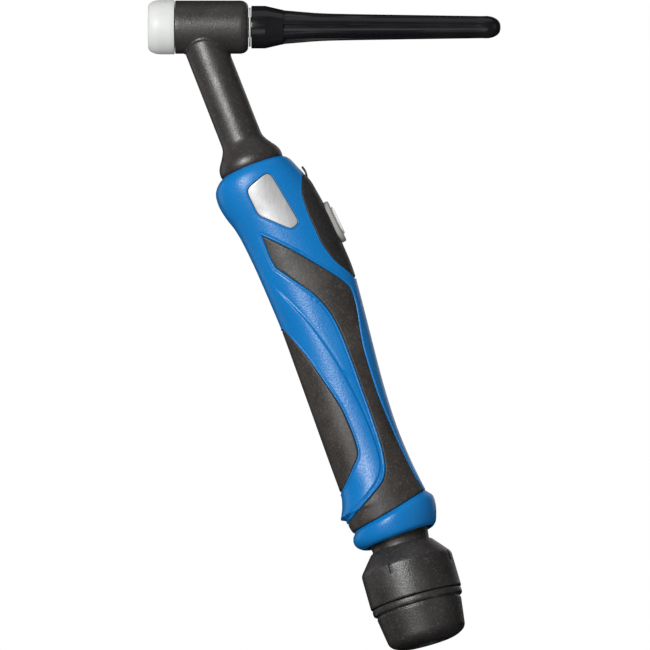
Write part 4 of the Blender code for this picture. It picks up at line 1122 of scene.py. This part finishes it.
SLOT_TURN, SLOT_WIDTH, SLOT_FROM, SLOT_TO, SLOT_FLOOR = 22.5, 2.0, 20.2, 25.2, 19.7
BOOT_UPPER = [(15, 14.8), (12.2, 13.75, 0.3), (12.7, 14.6, 0.3), (20.3, 21.0, 1.4),
              (21.6, 21.3, 0.5), (36.4, 21.4, 0.3), (36.9, 21.2, 0.15), (36.9, 18.5, 0.3),
              (22.0, 18.4, 0.5), (13.2, 13.75, 0.3)]
CUP_BORE = [(33, 18.2), (29, 18.2), (29, 15.2), (45, 15.2), (52.5, 15.2, 1.0), (55.9, 7.6, 0.5),
            (58.4, 7.5, 0.6), (58.4, 10.2)]
CUP_DOME = [(58.4, 10.2), (58.3, 11.6), (57.9, 13.2), (57.1, 15.2), (55.9, 17.0), (54.4, 18.0),
            (53, 18.3)]
CUP_OUTSIDE = [(53, 18.3), (42.0, 19.85, 0.4), (41.4, 19.55, 0.3), (40.8, 19.55, 0.3),
               (40.4, 20.6, 0.5), (39.7, 21.0, 0.6), (37.8, 21.0, 0.5), (37.2, 20.5, 0.4),
               (37.2, 18.2, 0.3), (33, 18.2)]


def cut_slot(boot, turn):
    """Cut one blind slot into the boot's cone."""
    middle = (SLOT_FROM + SLOT_TO) / 2
    outline = oblong((SLOT_TO - SLOT_FROM, SLOT_WIDTH), steps=8)
    cut = skinned([[(reach, y, middle + x) for x, y in outline] for reach in (SLOT_FLOOR, 24)])
    place = BOOT @ Matrix.Rotation(radians(turn + SLOT_TURN), 4, "Z")
    joined(boot, plain_piece("slot_cut", *cut, place), "DIFFERENCE")


def make_boot(material):
    upper = [(12.6, 13.7)] + fillet(BOOT_UPPER, 0.3)[1:-1] + [BOOT_UPPER[-1][:2]]
    boot = plain_piece("boot_moulding", *turned_mesh(dense(upper, 1.4), 144), BOOT)
    for turn in (0, 90, 180, 270):
        cut_slot(boot, turn)
    settle(boot, "cable_boot", material, ["boot_upper"], 35)
    dome = [tuple(point) for point in smooth_path(CUP_DOME, 0.6)]
    cup = fillet(CUP_BORE, 0.5)[:-1] + dome + fillet(CUP_OUTSIDE, 0.5)[1:-1]
    lathe("hose_cup_moulding", dense(cup, 1.6), BOOT, "cable_boot", "boot_black", material,
          ["hose_cup"], 128)


# ------------------------------------------------------------------ key and screws
BEZEL, BEZEL_HOLE, KEY_SIZE = (20.4, 11.0), (14.4, 7.4), (13.8, 6.8)
BEZEL_SADDLE = 0.6          # share of the frame's height lost at its long sides
# Rows of (outline, height, growth) for the frame, and of (height, growth) for the key
BEZEL_ROWS = [(BEZEL, -2.4, -0.05), (BEZEL, -2.2, 0), (BEZEL, 0.9, 0), (BEZEL, 1.35, -0.08),
              (BEZEL, 1.65, -0.32), (BEZEL, 1.8, -0.7), (BEZEL_HOLE, 1.8, 0.55),
              (BEZEL_HOLE, 1.72, 0.2), (BEZEL_HOLE, 1.5, 0.03), (BEZEL_HOLE, 1.2, 0),
              (BEZEL_HOLE, -2.4, 0)]
KEY_ROWS = [(-3.2, 0), (1.15, 0), (1.25, -0.4), (1.65, -0.4), (1.8, 0), (1.9, 0), (2.2, -0.06),
            (2.42, -0.25), (2.54, -0.6), (2.6, -1.2), (2.58, -2.2)]
FLANGE, FLANGE_ROWS = (16.0, 8.4), [(-3.7, -0.1), (-3.6, 0), (-2.8, 0), (-2.7, -0.1)]
STEM_R, STEM_FROM, STEM_TO = 1.2, -6.2, -3.2


def make_key(bezel_material, key_material):
    rings = [[(x, y, z - max(z, 0) * BEZEL_SADDLE * (2 * y / BEZEL[1]) ** 2)
              for x, y in oblong(size, grow)] for size, z, grow in BEZEL_ROWS]
    add_piece("key_frame", *skinned(rings, looped=True), KEY, "torch_body", "bezel_grey",
              bezel_material, ["key_bezel"], 40)
    press = plain_piece("press_key", *oblong_stack(KEY_SIZE, KEY_ROWS), KEY)
    joined(press, plain_piece("flange", *oblong_stack(FLANGE, FLANGE_ROWS), KEY), "UNION")
    joined(press, rod("stem", KEY, STEM_R, STEM_FROM, STEM_TO, 32), "UNION")
    settle(press, "push_key", key_material, ["push_key"], 40)


SPRING_R, SPRING_WIRE, SPRING_TURNS, SPRING_STEPS = 2.3, 0.28, 3.5, 140
SPRING_FOOT, SPRING_TOP, KEY_STROKE = -7.42, -4.28, 1.0


def make_spring(material):
    """The key's return spring."""
    rings = []
    end = 2 * pi * SPRING_TURNS
    rise = (SPRING_TOP - SPRING_FOOT) / end
    for turn in np.linspace(0, end, SPRING_STEPS):
        out = Vector((cos(turn), sin(turn), 0))
        along = Vector((-SPRING_R * sin(turn), SPRING_R * cos(turn), rise)).normalized()
        across = along.cross(out)
        middle = out * SPRING_R + Vector((0, 0, SPRING_FOOT + rise * turn))
        rings.append([tuple(middle + (out * cos(a) + across * sin(a)) * SPRING_WIRE)
                      for a in circle(12)])
    spring = add_piece("return_spring", *skinned(rings), KEY, "push_key", "steel", material,
                       ["key_spring"], 60)
    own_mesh(spring)


# Each screw's place down the handle and towards the key, and how deep its head sits
SCREWS = [(90, 12.7, 11.6), (150, -7.5, 10.7), (223.5, -8.2, 13.2)]


SHANK_R, SCREW_HEAD_R, SCREW_HEAD, SOCKET_CORNER, SOCKET_DEPTH = 1.2, 2.2, 1.6, 0.78, 1.0


def make_screws(material):
    for number, (s, u, seat) in enumerate(SCREWS, 1):
        place = HANDLE @ frame_of(Vector((u, 0, GRIP_S - s)), Vector((1, 0, 0)), ACROSS)
        low = seat + 0.3
        top = low + SCREW_HEAD
        profile = [(-7, 0), (-7, 0.7), (-6.4, SHANK_R), (low, SHANK_R), (low, 2.1),
                   (low + 0.15, SCREW_HEAD_R), (top - 0.6, SCREW_HEAD_R), (top - 0.25, 2.05),
                   (top - 0.05, 1.7), (top, 1.15), (top - 0.1, 1.0), (top - 0.1, 0)]
        screw = plain_piece(f"screw_{number}", *turned_mesh(profile, 48), place)
        socket = skinned([[(SOCKET_CORNER * cos(a), SOCKET_CORNER * sin(a), z) for a in circle(6)]
                          for z in (top - SOCKET_DEPTH, top + 1)])
        joined(screw, plain_piece("socket", *socket, place), "DIFFERENCE")
        settle(screw, "torch_body", material, [f"shell_screw_{number}"], 35)


TAB_STEP, TAB_ROUND = 0.25, 0.6


def power(value, exponent):
    """A power that keeps the value's sign."""
    return copysign(abs(value) ** exponent, value)


def strip_mesh(path, half_thick, half_wide):
    """A flat strip along a path of (s, u), with rounded sides and ends."""
    path = smooth_path(path, TAB_STEP)
    tangent = np.gradient(path, axis=0)
    tangent /= np.linalg.norm(tangent, axis=1, keepdims=True)
    rings = []
    for i, (here, along) in enumerate(zip(path, tangent)):
        left = min(i, len(path) - 1 - i) * TAB_STEP
        swell = sqrt(max(1 - (1 - min((left + 0.1) / TAB_ROUND, 1)) ** 2, 0.05))
        ring = []
        for a in circle(28):
            out = power(cos(a), 0.6) * half_thick * swell
            wide = power(sin(a), 0.5) * (half_wide - half_thick * (1 - swell))
            ring.append((here[1] + along[0] * out, wide, GRIP_S - (here[0] - along[1] * out)))
        rings.append(ring)
    return skinned(rings)


COVER_HOLE = (21.0, 11.6)
PULL_TAB = [(84.6, 21.6), (83.2, 21.75), (82.0, 21.95), (80.6, 22.0), (79.2, 21.75), (78.0, 21.3)]


def make_switch_cover(material):
    loop = mirrored_loop(COVER_LINE[1:-1], pi)
    cover = plain_piece("switch_cover_skin", *inlay_mesh(loop, 1.9, 0.4), HANDLE)
    joined(cover, plain_piece("tab", *strip_mesh(PULL_TAB, 0.42, 2.0), HANDLE), "UNION")
    opening = oblong_stack(COVER_HOLE, [(-8, 0), (6, 0)])
    joined(cover, plain_piece("opening", *opening, KEY), "DIFFERENCE")
    settle(cover, "torch_body", material, ["switch_cover"], 40)


# ------------------------------------------------------------------ build
BRASS, COPPER, STEEL = (0.72, 0.48, 0.2), (0.78, 0.36, 0.2), (0.56, 0.56, 0.57)


def carry_over(nodes, material):
    """Give CAD nodes that stay as they are a detailed material."""
    for name in nodes:
        piece = frame["nodes"][name]
        piece.data.materials.clear()
        piece.data.materials.append(material)


def make_pieces():
    blue = blue_plastic()
    rubber = grain_rubber("grip_rubber", (0.024, 0.0205, 0.018), 0.44)
    make_shells(blue)
    make_inlays(rubber, silver_plate())
    make_switch_cover(grain_rubber("cover_rubber", (0.016, 0.015, 0.015), 0.45, 1.1, 0.08,
                                   (0.045, 0.041, 0.038)))
    make_collar(blue)
    make_head(satin_head())
    make_insulator(white_ptfe())
    make_cap(glossy_cap(), pale_seal())
    boot = boot_plastic()
    make_ball_joint(boot)
    make_boot(boot)
    make_key(hard_plastic("bezel_plastic", (0.25, 0.24, 0.225)),
             hard_plastic("key_plastic", (0.6, 0.6, 0.58)))
    steel = bare_metal("steel_bare", STEEL)
    make_screws(steel)
    make_spring(steel)
    carry_over(["torch_core", "power_stud", "switch_terminal_1", "switch_terminal_2"],
               bare_metal("brass_bare", BRASS))
    carry_over(["neck_tube"], bare_metal("copper_bare", COPPER))
    carry_over(["ball_seat", "lead_connector"],
               hard_plastic("nylon_moulded", (0.68, 0.67, 0.62)))
    carry_over(["microswitch", "switch_lead_2"],
               hard_plastic("switch_plastic", (0.03, 0.03, 0.032)))
    carry_over(["switch_lead_1"], hard_plastic("lead_red_sheath", (0.45, 0.03, 0.025)))
    carry_over(["switch_plunger"], hard_plastic("plunger_plastic", (0.5, 0.5, 0.49)))


# ------------------------------------------------------------------ stage
TARGET = Vector((-0.0010, 0, 0.0156))
DISTANCE, RISE = 4.13, radians(-8)
FLOOR_Z, FLOOR_REACH = -0.72, 30
LIGHTS_AIM = Vector((0, 0, 0.03))
# Each panel's place, size and power
PANELS = {"key_light": ((-0.69, -1.42, 0.30), (0.5, 0.5), 28),
          "right_panel": ((1.4, -1.0, 0.1), (0.8, 1.4), 0.7),
          "top_panel": ((0.1, -0.5, 1.6), (1.4, 1.0), 1.6),
          "low_panel": ((-0.3, -1.2, -0.66), (1.2, 0.6), 1.5),
          "back_panel": ((0.7, 1.5, 0.7), (1.0, 1.0), 2.5),
          "far_panel": ((-1.3, 0.8, 0.2), (0.6, 1.2), 1.5)}


def aim(made, target):
    made.rotation_euler = (target - made.location).to_track_quat("-Z", "Y").to_euler()


def make_camera():
    data = bpy.data.cameras.new("camera")
    data.lens = 500
    data.sensor_width = 36
    data.clip_end = 60
    camera = bpy.data.objects.new("camera", data)
    bpy.context.scene.collection.objects.link(camera)
    camera.location = TARGET + Vector((0, -cos(RISE), sin(RISE))) * DISTANCE
    aim(camera, TARGET)
    bpy.context.scene.camera = camera


def area_light(name, place, size, watts):
    data = bpy.data.lights.new(name, "AREA")
    data.shape = "RECTANGLE"
    data.size, data.size_y = size
    data.energy = watts
    light = bpy.data.objects.new(name, data)
    light.location = place
    bpy.context.scene.collection.objects.link(light)
    aim(light, LIGHTS_AIM)


def make_floor():
    mesh = bpy.data.meshes.new("floor")
    corners = [(-1, -1), (1, -1), (1, 1), (-1, 1)]
    mesh.from_pydata([(x * FLOOR_REACH, y * FLOOR_REACH, FLOOR_Z) for x, y in corners], [],
                     [(0, 1, 2, 3)])
    floor = bpy.data.objects.new("floor", mesh)
    bpy.context.scene.collection.objects.link(floor)
    look = Look("floor_paper", (0.5, 0.5, 0.5), 0.85, specular=0.1)
    look.mottle(0.01, 2, 0.4, 0.7, (0.48, 0.48, 0.48), 0.5)
    mesh.materials.append(look.done(Emission_Color=(1, 1, 1, 1), Emission_Strength=0.52))
    floor.visible_diffuse = False
    floor.visible_glossy = False


def make_light():
    """A pale studio: even light from all round, and soft panels for the reflections."""
    world = bpy.data.worlds.new("studio")
    bpy.context.scene.world = world
    world.use_nodes = True
    world.cycles_visibility.glossy = False
    nodes, links = world.node_tree.nodes, world.node_tree.links
    back = nodes["Background"]
    back.inputs["Color"].default_value = (0.97, 0.98, 1.0, 1)
    back.inputs["Strength"].default_value = 0.56
    bright = nodes.new("ShaderNodeBackground")
    bright.inputs["Color"].default_value = (1, 1, 1, 1)
    bright.inputs["Strength"].default_value = 1.0
    path = nodes.new("ShaderNodeLightPath")
    mix = nodes.new("ShaderNodeMixShader")
    links.new(path.outputs["Is Camera Ray"], mix.inputs["Fac"])
    links.new(back.outputs[0], mix.inputs[1])
    links.new(bright.outputs[0], mix.inputs[2])
    links.new(mix.outputs[0], nodes["World Output"].inputs["Surface"])
    for name, (place, size, watts) in PANELS.items():
        area_light(name, place, size, watts)


make_pieces()
make_floor()
make_light()
make_camera()
bpy.context.scene.view_settings.view_transform = "Standard"
